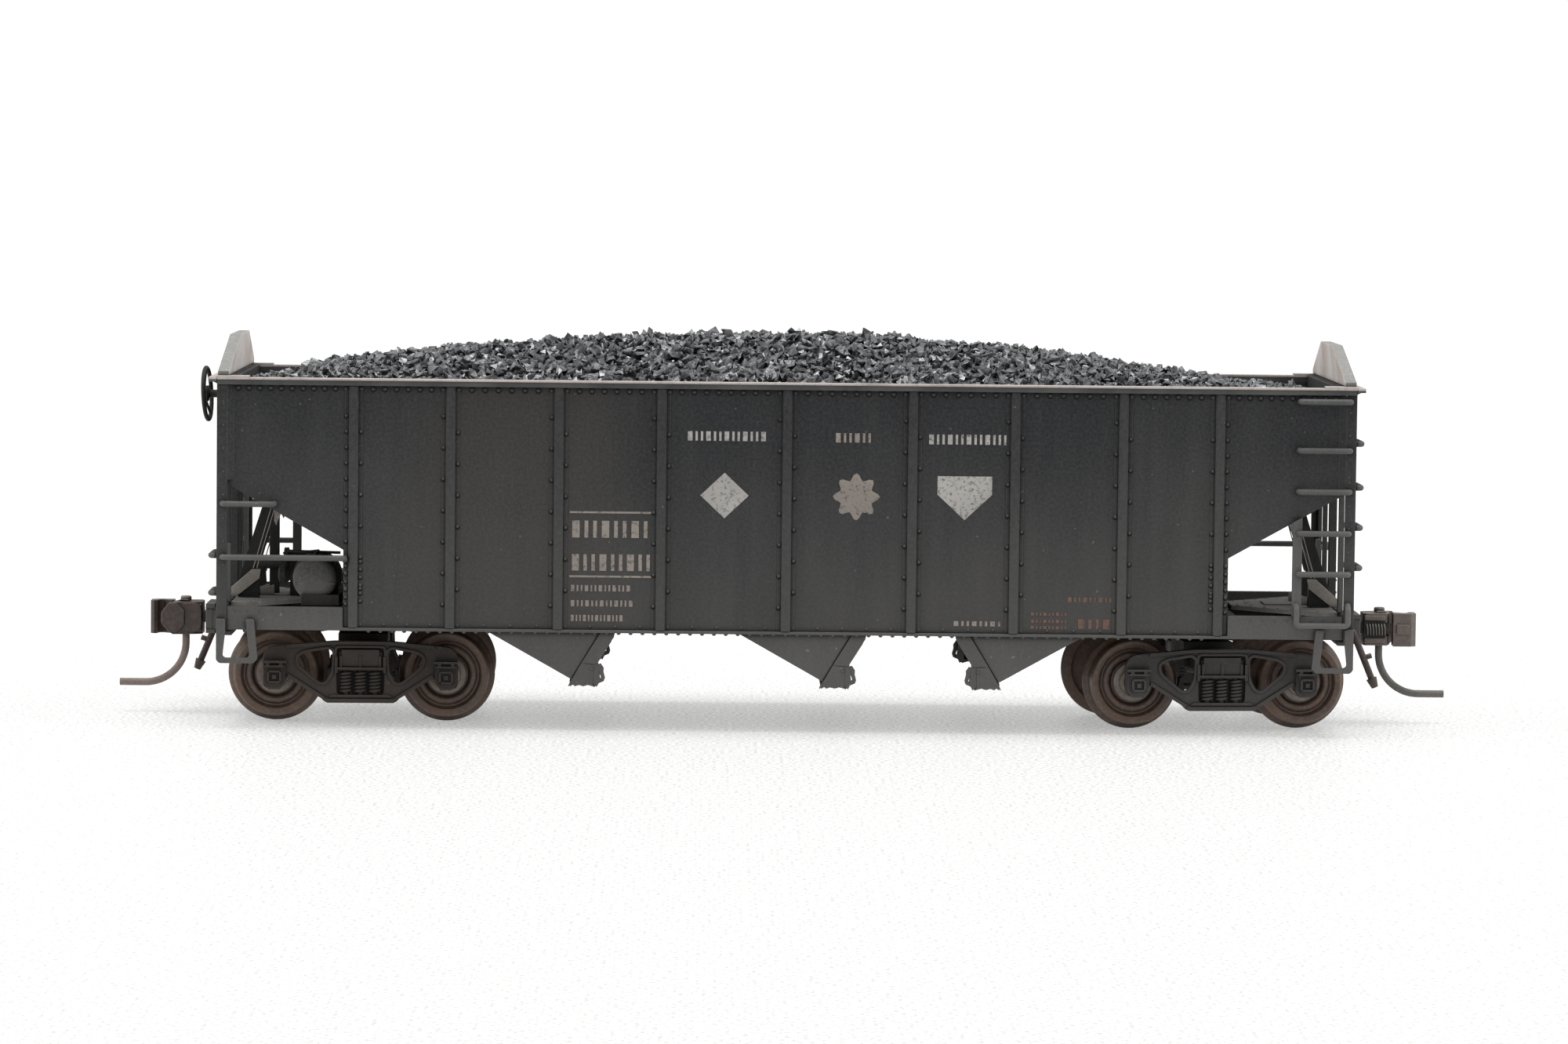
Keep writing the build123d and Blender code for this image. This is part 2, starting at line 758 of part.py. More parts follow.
with BuildPart() as brake_cylinder:
    with BuildSketch(Plane(origin=(-54.0, -1.4, 17.2), z_dir=(-1, 0, 0))):
        Circle(1.6)
    extrude(amount=2.6)
    with BuildSketch(Plane(origin=(-56.6, -1.4, 17.2), z_dir=(-1, 0, 0))):
        Circle(1.9)
    extrude(amount=0.5)
    with BuildSketch(Plane(origin=(-57.1, -1.4, 17.2), z_dir=(-1, 0, 0))):
        Circle(0.55)
    extrude(amount=3.2)
    with BuildSketch(level_plane(13.68)):
        with Locations((-55.4, -1.4)):
            Rectangle(2.0, 2.2)
    extrude(amount=2.2)
save(brake_cylinder.part, "brake_cylinder")

with BuildPart() as control_valve:
    with BuildSketch(level_plane(13.68)):
        with Locations((-55.0, 4.0)):
            Rectangle(2.6, 2.2)
    extrude(amount=3.4)
    with BuildSketch(Plane(origin=(-56.3, 4.0, 15.9), z_dir=(-1, 0, 0))):
        Circle(0.8)
    extrude(amount=0.9)
    chamfer(control_valve.faces().sort_by(Axis.Z)[-1].edges(), length=0.35)
save(control_valve.part, "control_valve")

with BuildPart() as brake_pipes:
    bent_rod([(-51.9, -4.38, 17.5), (-51.9, 1.6, 17.5), (-54.2, 4.0, 18.3), (-54.9, 4.0, 17.1)], 0.4, 0.22)
    bent_rod([(-53.68, 4.0, 15.2), (-51.6, 6.6, 15.2), (-51.6, 17.4, 15.2), (-51.6, 17.4, 13.7)], 0.6, 0.22)
save(brake_pipes.part, "brake_pipes")

brake_wheel_y = 5.0
brake_wheel_z = 36.3
brake_wheel_x = -66.3
brake_wheel_radius = 3.25
brake_case_x = -65.2
brake_shaft_radius = 0.45
with BuildPart() as brake_gear_case:
    with BuildSketch(turned_half_way(cross_plane(end_sheet_outer_x + 0.02))):
        with Locations((-brake_wheel_y, 35.9)):
            RectangleRounded(3.4, 4.4, 0.6)
    extrude(amount=2.4)
    with BuildSketch(Plane(origin=(brake_case_x + 0.5, brake_wheel_y, brake_wheel_z), z_dir=(-1, 0, 0))):
        Circle(brake_shaft_radius)
    extrude(amount=1.9)
save(brake_gear_case.part, "brake_gear_case")

with BuildPart() as hand_brake_rod:
    with BuildSketch(Plane(origin=(-63.9, brake_wheel_y, 33.68), z_dir=(0, 0, -1))):
        Circle(0.28)
    extrude(amount=33.68 - sill_top_z - 0.1)
save(hand_brake_rod.part, "hand_brake_rod")

# Air hoses hang rigidly beside the couplers, each with a cock above and a coupling below.
with BuildPart() as air_hoses:
    for turn in (1, -1):
        hose = ((63.32, -4.6, 11.3), (64.9, -4.6, 11.0), (67.3, -4.6, 5.2))
        bent_rod([turned_point(p, turn) for p in hose], 0.7, 0.38)
        tip = Vector(*turned_point((67.15, -4.6, 5.55), turn))
        with BuildSketch(Plane(origin=tip, z_dir=(turn * 0.38, 0, -0.92))):
            Circle(0.62)
        extrude(amount=1.1, taper=12)
        with BuildSketch(Plane(origin=turned_point((66.2, -4.6, 7.9), turn), z_dir=(turn, 0, 0.3))):
            Circle(0.3)
        extrude(amount=0.95)
save(air_hoses.part, "air_hoses")

# ---------------------------------------------------------------- hidden weights and coupler boxes

ballast_gauge = 1.6
with BuildPart() as ballast_weights:
    for plane in both(side_plane(14.5)):
        with BuildSketch(plane):
            outline(
                (60.5, slope_z(60.5) + slope_sheet_rise + 0.02),
                (60.5, slope_z(60.5) + slope_sheet_rise + ballast_gauge),
                (39.0, slope_z(39.0) + slope_sheet_rise + ballast_gauge),
                (39.0, slope_z(39.0) + slope_sheet_rise + 0.02),
            )
        extrude(amount=29.0)
save(ballast_weights.part, "ballast_weights")

box_front_x = 65.95
box_half_width = 3.1
box_wall = 0.55
box_bottom_z = 9.75
box_split_z = 12.0
box_post_radius = 0.95
screw_radius = 0.45
with BuildPart() as coupler_boxes:
    with BuildSketch(*both(level_plane(box_bottom_z))):
        with Locations(((box_rear_x + box_front_x) / 2, 0)):
            Rectangle(box_front_x - box_rear_x, 2 * box_half_width)
    extrude(amount=box_split_z - box_bottom_z)
    with BuildSketch(*both(level_plane(box_bottom_z + 0.5))):
        with Locations(((box_rear_x + box_wall + box_front_x + 1) / 2, 0)):
            Rectangle(
                box_front_x + 1 - box_rear_x - box_wall,
                2 * (box_half_width - box_wall),
            )
    extrude(amount=box_split_z, mode=Mode.SUBTRACT)
    with BuildSketch(*both(level_plane(box_bottom_z))):
        with Locations((coupler_pivot_x, 0)):
            Circle(box_post_radius)
    extrude(amount=box_split_z - box_bottom_z)
    with BuildSketch(*both(level_plane(box_bottom_z - 0.1))):
        with Locations((coupler_pivot_x, 0)):
            Circle(screw_radius + 0.05)
    extrude(amount=4.0, mode=Mode.SUBTRACT)
save(coupler_boxes.part, "coupler_boxes")

with BuildPart() as box_lids:
    with BuildSketch(*both(level_plane(box_split_z + 0.02))):
        with Locations(((box_rear_x + box_front_x) / 2, 0)):
            Rectangle(box_front_x - box_rear_x, 2 * box_half_width)
        with Locations((coupler_pivot_x, 0)):
            Circle(screw_radius + 0.05, mode=Mode.SUBTRACT)
    extrude(amount=0.45)
save(box_lids.part, "box_lids")

with BuildPart() as centring_springs:
    with BuildSketch(*both(level_plane(box_bottom_z + 0.52))):
        with Locations((coupler_pivot_x + 1.2, 0)):
            Rectangle(5.0, 4.6)
        with Locations((coupler_pivot_x, 0)):
            Circle(box_post_radius + 0.1, mode=Mode.SUBTRACT)
    extrude(amount=0.12)
    with BuildSketch(*both(level_plane(box_bottom_z + 0.52))):
        with Locations((coupler_pivot_x + 2.2, 2.2), (coupler_pivot_x + 2.2, -2.2)):
            Rectangle(2.6, 0.15)
    extrude(amount=0.9)
save(centring_springs.part, "centring_springs")

kingpin_radius = 0.8
with BuildPart() as screws:
    with BuildSketch(*both(level_plane(box_bottom_z - 0.42))):
        with Locations((coupler_pivot_x, 0)):
            Circle(0.85)
    extrude(amount=0.4)
    with BuildSketch(*both(level_plane(box_bottom_z - 0.02))):
        with Locations((coupler_pivot_x, 0)):
            Circle(screw_radius)
    extrude(amount=2.9)
    with BuildSketch(*both(level_plane(5.7))):
        with Locations((truck_x, 0)):
            Circle(1.7)
    extrude(amount=0.8)
    with BuildSketch(*both(level_plane(6.5))):
        with Locations((truck_x, 0)):
            Circle(kingpin_radius)
    extrude(amount=5.6)
    with BuildSketch(*both(level_plane(5.7))):
        with Locations((truck_x, 0)):
            Rectangle(0.4, 2.8)
    extrude(amount=0.35, mode=Mode.SUBTRACT)
save(screws.part, "screws")

# ---------------------------------------------------------------- coal load insert

load_half_length = end_sheet_inner_x - load_gap
load_half_width = sheet_inner_y - load_gap
load_edge_z = 38.2
crown = (
    (-load_half_length, load_edge_z),
    (-57.0, 39.4),
    (-46.0, 41.0),
    (-28.0, 42.8),
    (-13.0, 43.6),
    (0.0, 43.8),
    (8.0, 43.8),
    (22.0, 42.9),
    (37.0, 41.1),
    (51.0, 39.1),
    (load_half_length, load_edge_z),
)
with BuildPart() as coal_load:
    with BuildSketch(side_plane(load_half_width)):
        with BuildLine():
            Polyline(
                (-load_half_length, load_edge_z),
                (-load_half_length, load_bottom_z),
                (load_half_length, load_bottom_z),
                (load_half_length, load_edge_z),
            )
            Spline(*crown)
        make_face()
    extrude(amount=2 * load_half_width)
    with BuildSketch(cross_plane(-load_half_length)):
        with BuildLine():
            Polyline(
                (-load_half_width, load_edge_z - 0.4),
                (-load_half_width, load_bottom_z),
                (load_half_width, load_bottom_z),
                (load_half_width, load_edge_z - 0.4),
            )
            Spline(
                (-load_half_width, load_edge_z - 0.4),
                (-10.5, 41.2),
                (-4.5, 43.6),
                (4.5, 43.6),
                (10.5, 41.2),
                (load_half_width, load_edge_z - 0.4),
            )
        make_face()
    extrude(amount=2 * load_half_length, mode=Mode.INTERSECT)
save(coal_load.part, "coal_load")

with BuildPart() as brake_wheel:
    with BuildSketch(Plane(origin=(brake_wheel_x, brake_wheel_y, brake_wheel_z), z_dir=(-1, 0, 0))):
        Circle(brake_wheel_radius)
        Circle(brake_wheel_radius - 0.55, mode=Mode.SUBTRACT)
        with PolarLocations(0, 5):
            with Locations((brake_wheel_radius / 2 - 0.1, 0)):
                Rectangle(brake_wheel_radius - 0.5, 0.42)
        Circle(0.95)
        Circle(brake_shaft_radius + 0.05, mode=Mode.SUBTRACT)
    extrude(amount=0.6)
    rim_edges = brake_wheel.edges().filter_by(GeomType.CIRCLE).filter_by(
        lambda edge: edge.radius > brake_wheel_radius - 0.1
    )
    fillet(rim_edges, radius=0.2)
save(brake_wheel.part, "brake_wheel")

# ---------------------------------------------------------------- trucks and wheelsets

# Side frame, drawn in the truck's own X and Z for one half and mirrored.
frame_inner_y = 11.9
frame_outer_y2 = 13.1
journal_x = wheelbase / 2
frame_half = (
    (0, 2.45),
    (3.9, 2.45),
    (5.2, 3.8),
    (8.3, 5.5),
    (8.5, 4.2),
    (8.9, 3.95),
    (11.0, 3.95),
    (11.0, 7.9),
    (10.3, 8.75),
    (8.0, 9.0),
    (3.0, 9.45),
    (0, 9.5),
)
window_half = ((2.95, 8.35), (3.4, 8.75), (6.6, 8.35), (7.3, 7.5), (6.9, 5.75), (4.0, 4.55), (3.1, 5.6))
centre_window = (4.7, 5.5)
bolster_beam_z = (6.6, 8.5)
for end, centre_x in (("a", truck_x), ("b", -truck_x)):
    yaw = truck_yaw[end]
    truck_axis_x = Vector(cos(radians(yaw)), sin(radians(yaw)), 0)
    truck_axis_y = Vector(-sin(radians(yaw)), cos(radians(yaw)), 0)
    centre = Vector(centre_x, 0, 0)

    def truck_side_plane(y):
        """Upright plane along the truck at its own y, drawn in its X and in Z."""
        return Plane(origin=centre + truck_axis_y * y, x_dir=truck_axis_x, z_dir=truck_axis_y * -1)

    def truck_level_plane(z):
        return Plane(origin=centre + up * z, x_dir=truck_axis_x, z_dir=up)

    with BuildPart() as side_frames:
        for y_sign in (-1, 1):
            inner, outer = frame_inner_y * y_sign, frame_outer_y2 * y_sign
            with BuildSketch(truck_side_plane(inner)):
                with BuildLine():
                    Polyline(*frame_half)
                    mirror(about=Plane.YZ)
                make_face()
                for x_sign in (-1, 1):
                    with BuildLine():
                        Polyline(*[(x * x_sign, z) for x, z in window_half], close=True)
                    make_face(mode=Mode.SUBTRACT)
                with Locations((0, 5.98)):
                    RectangleRounded(*centre_window, 0.4, mode=Mode.SUBTRACT)
            extrude(amount=-(outer - inner))
            for x_sign in (-1, 1):
                with BuildSketch(truck_side_plane(y_sign * 11.3)):
                    with Locations((x_sign * journal_x, 5.75)):
                        RectangleRounded(2.4, 3.7, 0.4)
                extrude(amount=-y_sign * 2.7)
                with BuildSketch(truck_side_plane(y_sign * 11.2)):
                    with Locations((x_sign * journal_x, axle_z)):
                        Circle(journal_radius + journal_gap)
                extrude(amount=-y_sign * 1.95, mode=Mode.SUBTRACT)
    save(side_frames.part, f"side_frames_{end}")

    with BuildPart() as truck_bolster:
        with BuildSketch(truck_level_plane(bolster_beam_z[0])):
            Rectangle(4.3, 26.0)
        extrude(amount=bolster_beam_z[1] - bolster_beam_z[0])
        with BuildSketch(truck_level_plane(bolster_beam_z[0])):
            Rectangle(5.6, 8.4)
        extrude(amount=9.55 - bolster_beam_z[0])
        with BuildSketch(truck_level_plane(bolster_beam_z[0] - 0.1)):
            Circle(kingpin_radius + 0.08)
        extrude(amount=4.0, mode=Mode.SUBTRACT)
    save(truck_bolster.part, f"truck_bolster_{end}")

    with BuildPart() as truck_springs:
        with BuildSketch(truck_level_plane(3.26)):
            with Locations(*[(x, y) for x in (-1.5, 0, 1.5) for y in (-12.5, 12.5)]):
                Circle(0.7)
        extrude(amount=bolster_beam_z[0] - 3.28)
    save(truck_springs.part, f"truck_springs_{end}")

    for position, local_x in (("outer", journal_x), ("inner", -journal_x)):
        along = local_x if end == "a" else -local_x
        axle_centre = centre + truck_axis_x * along + up * axle_z
        turning_plane = Plane(
            origin=axle_centre, x_dir=truck_axis_y, z_dir=truck_axis_y.cross(up)
        )
        turning_axis = Axis(axle_centre, truck_axis_y)

        with BuildPart() as axle:
            with BuildSketch(turning_plane):
                with BuildLine():
                    Polyline(
                        (0, 0),
                        (0, axle_radius),
                        (wheel_face_y + 0.15, axle_radius),
                        (10.6, journal_radius),
                        (12.6, journal_radius),
                        (13.0, 0.1),
                        (13.0, 0),
                        close=True,
                    )
                make_face()
                mirror(about=Plane.YZ)
            revolve(axis=turning_axis)
        save(axle.part, f"axle_{end}_{position}")

        with BuildPart() as wheels:
            with BuildSketch(turning_plane):
                with BuildLine():
                    Polyline(
                        (wheel_back_y, axle_radius + 0.01),
                        (wheel_back_y, 2.0),
                        (wheel_back_y + 0.7, 2.3),
                        (wheel_back_y + 0.7, 4.0),
                        (wheel_back_y, 4.2),
                        (wheel_back_y, wheel_flange_radius - 0.25),
                        (wheel_back_y + 0.3, wheel_flange_radius),
                        (wheel_back_y + 0.6, wheel_flange_radius - 0.1),
                        (wheel_back_y + 0.9, wheel_tread_radius + 0.02),
                        (wheel_face_y - 0.12, wheel_tread_radius - 0.1),
                        (wheel_face_y, wheel_tread_radius - 0.25),
                        (wheel_face_y, 4.05),
                        (wheel_face_y - 0.35, 3.95),
                        (wheel_face_y - 0.55, 3.1),
                        (wheel_face_y - 0.75, 2.95),
                        (wheel_face_y - 0.75, 2.5),
                        (wheel_face_y - 0.3, 2.4),
                        (wheel_face_y - 0.3, 1.85),
                        (wheel_face_y - 0.7, 1.7),
                        (wheel_face_y - 0.7, 1.5),
                        (wheel_face_y, 1.4),
                        (wheel_face_y, axle_radius + 0.01),
                        close=True,
                    )
                make_face()
                mirror(about=Plane.YZ)
            revolve(axis=turning_axis)
        save(wheels.part, f"wheels_{end}_{position}")

# ---------------------------------------------------------------- couplers

# Drawn for the A end, pointing along +X, with the knuckle on the -Y side, and turned for the B end.
head_low_z = 9.1
head_high_z = 12.75
head_gap = (10.15, 11.75)
shank_z = (10.45, 11.65)
shank_half_width = 1.15
shank_eye_radius = 1.65
knuckle_clear = 0.12
trip_pin_radius = 0.42
trip_foot_x = 76.0
trip_foot_z = 3.4
spring_y = -1.7
for end, plane_of in (("a", lambda plane: plane), ("b", turned_half_way)):
    with BuildPart() as coupler_head:
        with BuildSketch(plane_of(level_plane(shank_z[0]))):
            with Locations((coupler_pivot_x, 0)):
                Circle(shank_eye_radius)
            with Locations(((coupler_pivot_x + 66.8) / 2, 0)):
                Rectangle(66.8 - coupler_pivot_x, 2 * shank_half_width)
            with Locations((coupler_pivot_x, 0)):
                Circle(box_post_radius + 0.06, mode=Mode.SUBTRACT)
        extrude(amount=shank_z[1] - shank_z[0])
        with BuildSketch(plane_of(level_plane(head_low_z))):
            outline(
                (66.45, -1.6),
                (66.75, -2.1),
                (69.1, -2.1),
                (69.6, -0.6),
                (69.6, 0.9),
                (70.9, 1.5),
                (70.9, 2.35),
                (69.6, 2.35),
                (67.4, 2.0),
                (66.45, 1.5),
            )
        extrude(amount=head_high_z - head_low_z)
        with BuildSketch(plane_of(level_plane(head_gap[0]))):
            outline(
                (67.1, -2.5),
                (67.1, 0.95),
                (69.7, 0.95),
                (69.7, -2.5),
            )
        extrude(amount=head_gap[1] - head_gap[0], mode=Mode.SUBTRACT)
        with BuildSketch(plane_of(level_plane(head_low_z - 0.1))):
            with Locations((knuckle_pin_x, 0)):
                Circle(trip_pin_radius + 0.06)
        extrude(amount=4.0, mode=Mode.SUBTRACT)
        with BuildSketch(plane_of(side_plane(3.0))):
            outline((71.2, 9.0), (71.2, 10.05), (70.9, 10.05), (69.7, 9.0))
            outline((71.2, 12.9), (71.2, 11.85), (70.9, 11.85), (69.7, 12.9))
        extrude(amount=2.2, mode=Mode.SUBTRACT)
    save(coupler_head.part, f"coupler_head_{end}")

    with BuildPart() as knuckle:
        with BuildSketch(plane_of(level_plane(head_gap[0] + knuckle_clear))):
            with Locations((knuckle_pin_x, 0)):
                Circle(0.75)
            outline(
                (knuckle_pin_x, -0.7),
                (69.95, -1.1),
                (70.2, -1.1),
                (70.2, 0.3),
                (69.3, 0.62),
                (knuckle_pin_x, 0.75),
            )
        extrude(amount=head_gap[1] - head_gap[0] - 2 * knuckle_clear)
        with BuildSketch(plane_of(level_plane(head_low_z - 0.1))):
            outline(
                (69.85, -2.15),
                (71.9, -2.15),
                (72.5, -1.6),
                (72.5, -0.1),
                (72.1, 0.35),
                (71.7, 0.1),
                (71.6, -0.8),
                (71.1, -1.1),
                (70.6, -0.6),
                (70.15, -0.2),
                (69.85, -0.3),
            )
        extrude(amount=head_high_z - head_low_z + 0.15)
        with BuildSketch(plane_of(level_plane(head_low_z))):
            with Locations((knuckle_pin_x, 0)):
                Circle(trip_pin_radius + 0.01)
        extrude(amount=3.6, mode=Mode.SUBTRACT)
    save(knuckle.part, f"knuckle_{end}")

    turn = 1 if end == "a" else -1
    pin_line = (
        (knuckle_pin_x, 0, 13.0),
        (knuckle_pin_x, 0, trip_foot_z),
        (trip_foot_x, 0, trip_foot_z),
    )
    with BuildPart() as trip_pin:
        bent_rod([turned_point(p, turn) for p in pin_line], 4.6, trip_pin_radius)
        with BuildSketch(plane_of(level_plane(head_high_z + 0.1))):
            with Locations((knuckle_pin_x, 0)):
                Circle(0.62)
        extrude(amount=0.5)
        fillet(trip_pin.faces().sort_by(Axis.Z)[-1].edges(), radius=0.2)
    save(trip_pin.part, f"trip_pin_{end}")

    with BuildPart() as knuckle_spring:
        with BuildSketch(plane_of(Plane(origin=(67.15, spring_y, coupler_z), z_dir=(1, 0, 0)))):
            Circle(0.65)
        extrude(amount=2.6)
    save(knuckle_spring.part, f"knuckle_spring_{end}")
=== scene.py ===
import math

import bmesh
import bpy
import numpy as np
from mathutils import Matrix, Vector


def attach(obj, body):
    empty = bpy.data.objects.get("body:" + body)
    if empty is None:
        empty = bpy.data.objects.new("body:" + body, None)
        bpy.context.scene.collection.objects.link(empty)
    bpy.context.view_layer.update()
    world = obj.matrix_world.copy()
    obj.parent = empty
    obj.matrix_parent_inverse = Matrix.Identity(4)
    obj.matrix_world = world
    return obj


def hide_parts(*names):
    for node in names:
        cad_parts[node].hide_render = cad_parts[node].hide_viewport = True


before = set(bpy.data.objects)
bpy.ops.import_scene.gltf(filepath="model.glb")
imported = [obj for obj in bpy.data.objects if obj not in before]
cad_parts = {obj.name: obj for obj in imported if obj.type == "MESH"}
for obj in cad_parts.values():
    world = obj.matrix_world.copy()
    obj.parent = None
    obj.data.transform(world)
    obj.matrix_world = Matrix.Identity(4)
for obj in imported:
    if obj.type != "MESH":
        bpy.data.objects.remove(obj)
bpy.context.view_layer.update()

rng = np.random.default_rng(11)
MM = 0.001

# ------------------------------------------------------------------ mesh building, in millimetres


def ring_faces(near, far, sides):
    """Quads between two rings of vertices, which start at the numbers near and far."""
    turns = [(k, (k + 1) % sides) for k in range(sides)]
    return [[near + k, near + after, far + after, far + k] for k, after in turns]


class Shape:
    """Collects closed solids in millimetres and makes one piece of them."""

    def __init__(self):
        self.verts = []
        self.faces = []

    def add(self, verts, faces, matrix=None):
        start = len(self.verts)
        moved = [matrix @ Vector(v) for v in verts] if matrix else verts
        self.verts += [tuple(v) for v in moved]
        self.faces += [[start + i for i in face] for face in faces]

    def block(self, lo, hi, matrix=None):
        """A box between two opposite corners."""
        x0, y0, z0 = lo
        x1, y1, z1 = hi
        verts = [(x, y, z) for z in (z0, z1) for x, y in ((x0, y0), (x1, y0), (x1, y1), (x0, y1))]
        sides = [[i, (i + 1) % 4, 4 + (i + 1) % 4, 4 + i] for i in range(4)]
        self.add(verts, [[3, 2, 1, 0], [4, 5, 6, 7]] + sides, matrix)

    def prism(self, outline, low, high, matrix=None):
        """An outline in X and Z, from y = low to y = high."""
        n = len(outline)
        verts = [(x, y, z) for y in (low, high) for x, z in outline]
        sides = [[i, n + i, n + (i + 1) % n, (i + 1) % n] for i in range(n)]
        self.add(verts, [list(range(n)), list(range(2 * n - 1, n - 1, -1))] + sides, matrix)

    def lathe(self, profile, matrix, segments=64):
        """A closed profile of (distance along Y, radius) turned about Y; radius 0 is one point."""
        verts, rings = [], []
        for along, r in profile:
            angles = [2 * math.pi * k / segments for k in range(segments if r else 1)]
            rings.append([len(verts) + k % len(angles) for k in range(segments)])
            verts += [(r * math.cos(a), along, r * math.sin(a)) for a in angles]
        faces = []
        for i, near in enumerate(rings):
            far = rings[(i + 1) % len(rings)]
            for k in range(segments):
                corners = [near[k], near[(k + 1) % segments], far[(k + 1) % segments], far[k]]
                face = list(dict.fromkeys(corners))
                if len(face) > 2:
                    faces.append(face)
        self.add(verts, faces, matrix)

    def tube(self, points, radius, sides=10, closed=False):
        """A round rod that follows the points, with flat ends."""
        points = [Vector(p) for p in points]
        n = len(points)
        normal = None
        verts, faces = [], []
        for i, p in enumerate(points):
            before = points[i - 1] if (i or closed) else points[0]
            after = points[(i + 1) % n] if (i < n - 1 or closed) else points[-1]
            along = (after - before).normalized()
            if normal is None:
                other = Vector((0, 0, 1)) if abs(along.z) < 0.9 else Vector((1, 0, 0))
                normal = along.cross(other).normalized()
            normal = (normal - along * normal.dot(along)).normalized()
            side = along.cross(normal)
            for k in range(sides):
                a = 2 * math.pi * k / sides
                verts.append(p + (normal * math.cos(a) + side * math.sin(a)) * radius)
        for i in range(n if closed else n - 1):
            faces += ring_faces(i * sides, (i + 1) % n * sides, sides)
        if not closed:
            faces += [list(range(sides))[::-1], list(range((n - 1) * sides, n * sides))]
        self.add(verts, faces)

    def rivet(self, point, out, radius=0.25, height=0.22, sides=8):
        """A low dome that stands on a surface whose outward direction is out."""
        turn = Vector(out).to_track_quat("Z", "Y").to_matrix().to_4x4()
        verts = []
        for level, share in ((-0.05, 1.0), (0.45, 0.88), (0.85, 0.5)):
            for k in range(sides):
                a = 2 * math.pi * k / sides
                verts.append((radius * share * math.cos(a), radius * share * math.sin(a), height * level))
        verts.append((0, 0, height))
        faces = [list(range(sides))[::-1]]
        for ring in range(2):
            faces += ring_faces(ring * sides, (ring + 1) * sides, sides)
        faces += [[2 * sides + k, 2 * sides + (k + 1) % sides, 3 * sides] for k in range(sides)]
        self.add(verts, faces, Matrix.Translation(point) @ turn)

    def coil(self, matrix, radius, wire, length, turns, sides=8, per_turn=14):
        """A helix along Z from 0 to length."""
        steps = int(turns * per_turn)
        line = []
        for i in range(steps + 1):
            a = 2 * math.pi * i / per_turn
            z = wire + (length - 2 * wire) * i / steps
            line.append(matrix @ Vector((radius * math.cos(a), radius * math.sin(a), z)))
        self.tube(line, wire, sides)

    def make(self, name, material, body, slot, bevel=0.0, smooth=35, stands_for=()):
        """The piece in metres, riding on a body; smooth is the sharpest angle that is shaded round."""
        mesh = bpy.data.meshes.new(name)
        mesh.from_pydata([(x * MM, y * MM, z * MM) for x, y, z in self.verts], [], self.faces)
        work = bmesh.new()
        work.from_mesh(mesh)
        bmesh.ops.recalc_face_normals(work, faces=work.faces)
        work.to_mesh(mesh)
        work.free()
        if smooth:
            mesh.shade_smooth()
            mesh.set_sharp_from_angle(angle=math.radians(smooth))
        obj = bpy.data.objects.new(name, mesh)
        bpy.context.scene.collection.objects.link(obj)
        mesh.materials.append(material)
        if bevel:
            soften(obj, bevel)
        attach(obj, body)
        if stands_for:
            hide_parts(*stands_for)
        return obj


def soften(obj, width, weld=False):
    """Small rounded edges, as moulded plastic has."""
    if weld:
        join = obj.modifiers.new("weld", "WELD")
        join.merge_threshold = 2e-6
    edge = obj.modifiers.new("edges", "BEVEL")
    edge.width = width * MM
    edge.segments = 2
    edge.limit_method = "ANGLE"
    edge.angle_limit = math.radians(28)
    edge.harden_normals = True


def rounded(points, radius, steps=5):
    """The closed outline with its corners rounded."""
    out = []
    n = len(points)
    for i in range(n):
        p = Vector(points[i])
        a, b = Vector(points[i - 1]) - p, Vector(points[(i + 1) % n]) - p
        cut = min(radius, a.length * 0.45, b.length * 0.45)
        start, end = p + a.normalized() * cut, p + b.normalized() * cut
        for k in range(steps + 1):
            t = k / steps
            out.append(tuple(start * (1 - t) ** 2 + p * 2 * t * (1 - t) + end * t * t))
    return out


def pierced_plate(outline, holes, low, high, bevel, matrix):
    """Vertices and faces of a plate in X and Z with holes, between y = low and y = high."""
    curve = bpy.data.curves.new("plate", "CURVE")
    curve.dimensions = "2D"
    curve.fill_mode = "BOTH"
    curve.extrude = (high - low) / 2 - bevel
    curve.bevel_depth = bevel
    curve.bevel_resolution = 2
    curve.offset = -bevel
    for points in [outline, *holes]:
        spline = curve.splines.new("POLY")
        spline.points.add(len(points) - 1)
        for point, (x, z) in zip(spline.points, points):
            point.co = (x, z, 0, 1)
        spline.use_cyclic_u = True
    holder = bpy.data.objects.new("plate", curve)
    mesh = bpy.data.meshes.new_from_object(holder)
    work = bmesh.new()
    work.from_mesh(mesh)
    bmesh.ops.remove_doubles(work, verts=work.verts, dist=1e-4)
    upright = matrix @ Matrix.Translation((0, (low + high) / 2, 0)) @ Matrix.Rotation(math.pi / 2, 4, "X")
    verts = [upright @ v.co for v in work.verts]
    faces = [[v.index for v in f.verts] for f in work.faces]
    work.free()
    bpy.data.meshes.remove(mesh)
    bpy.data.objects.remove(holder)
    bpy.data.curves.remove(curve)
    return verts, faces


# ------------------------------------------------------------------ materials


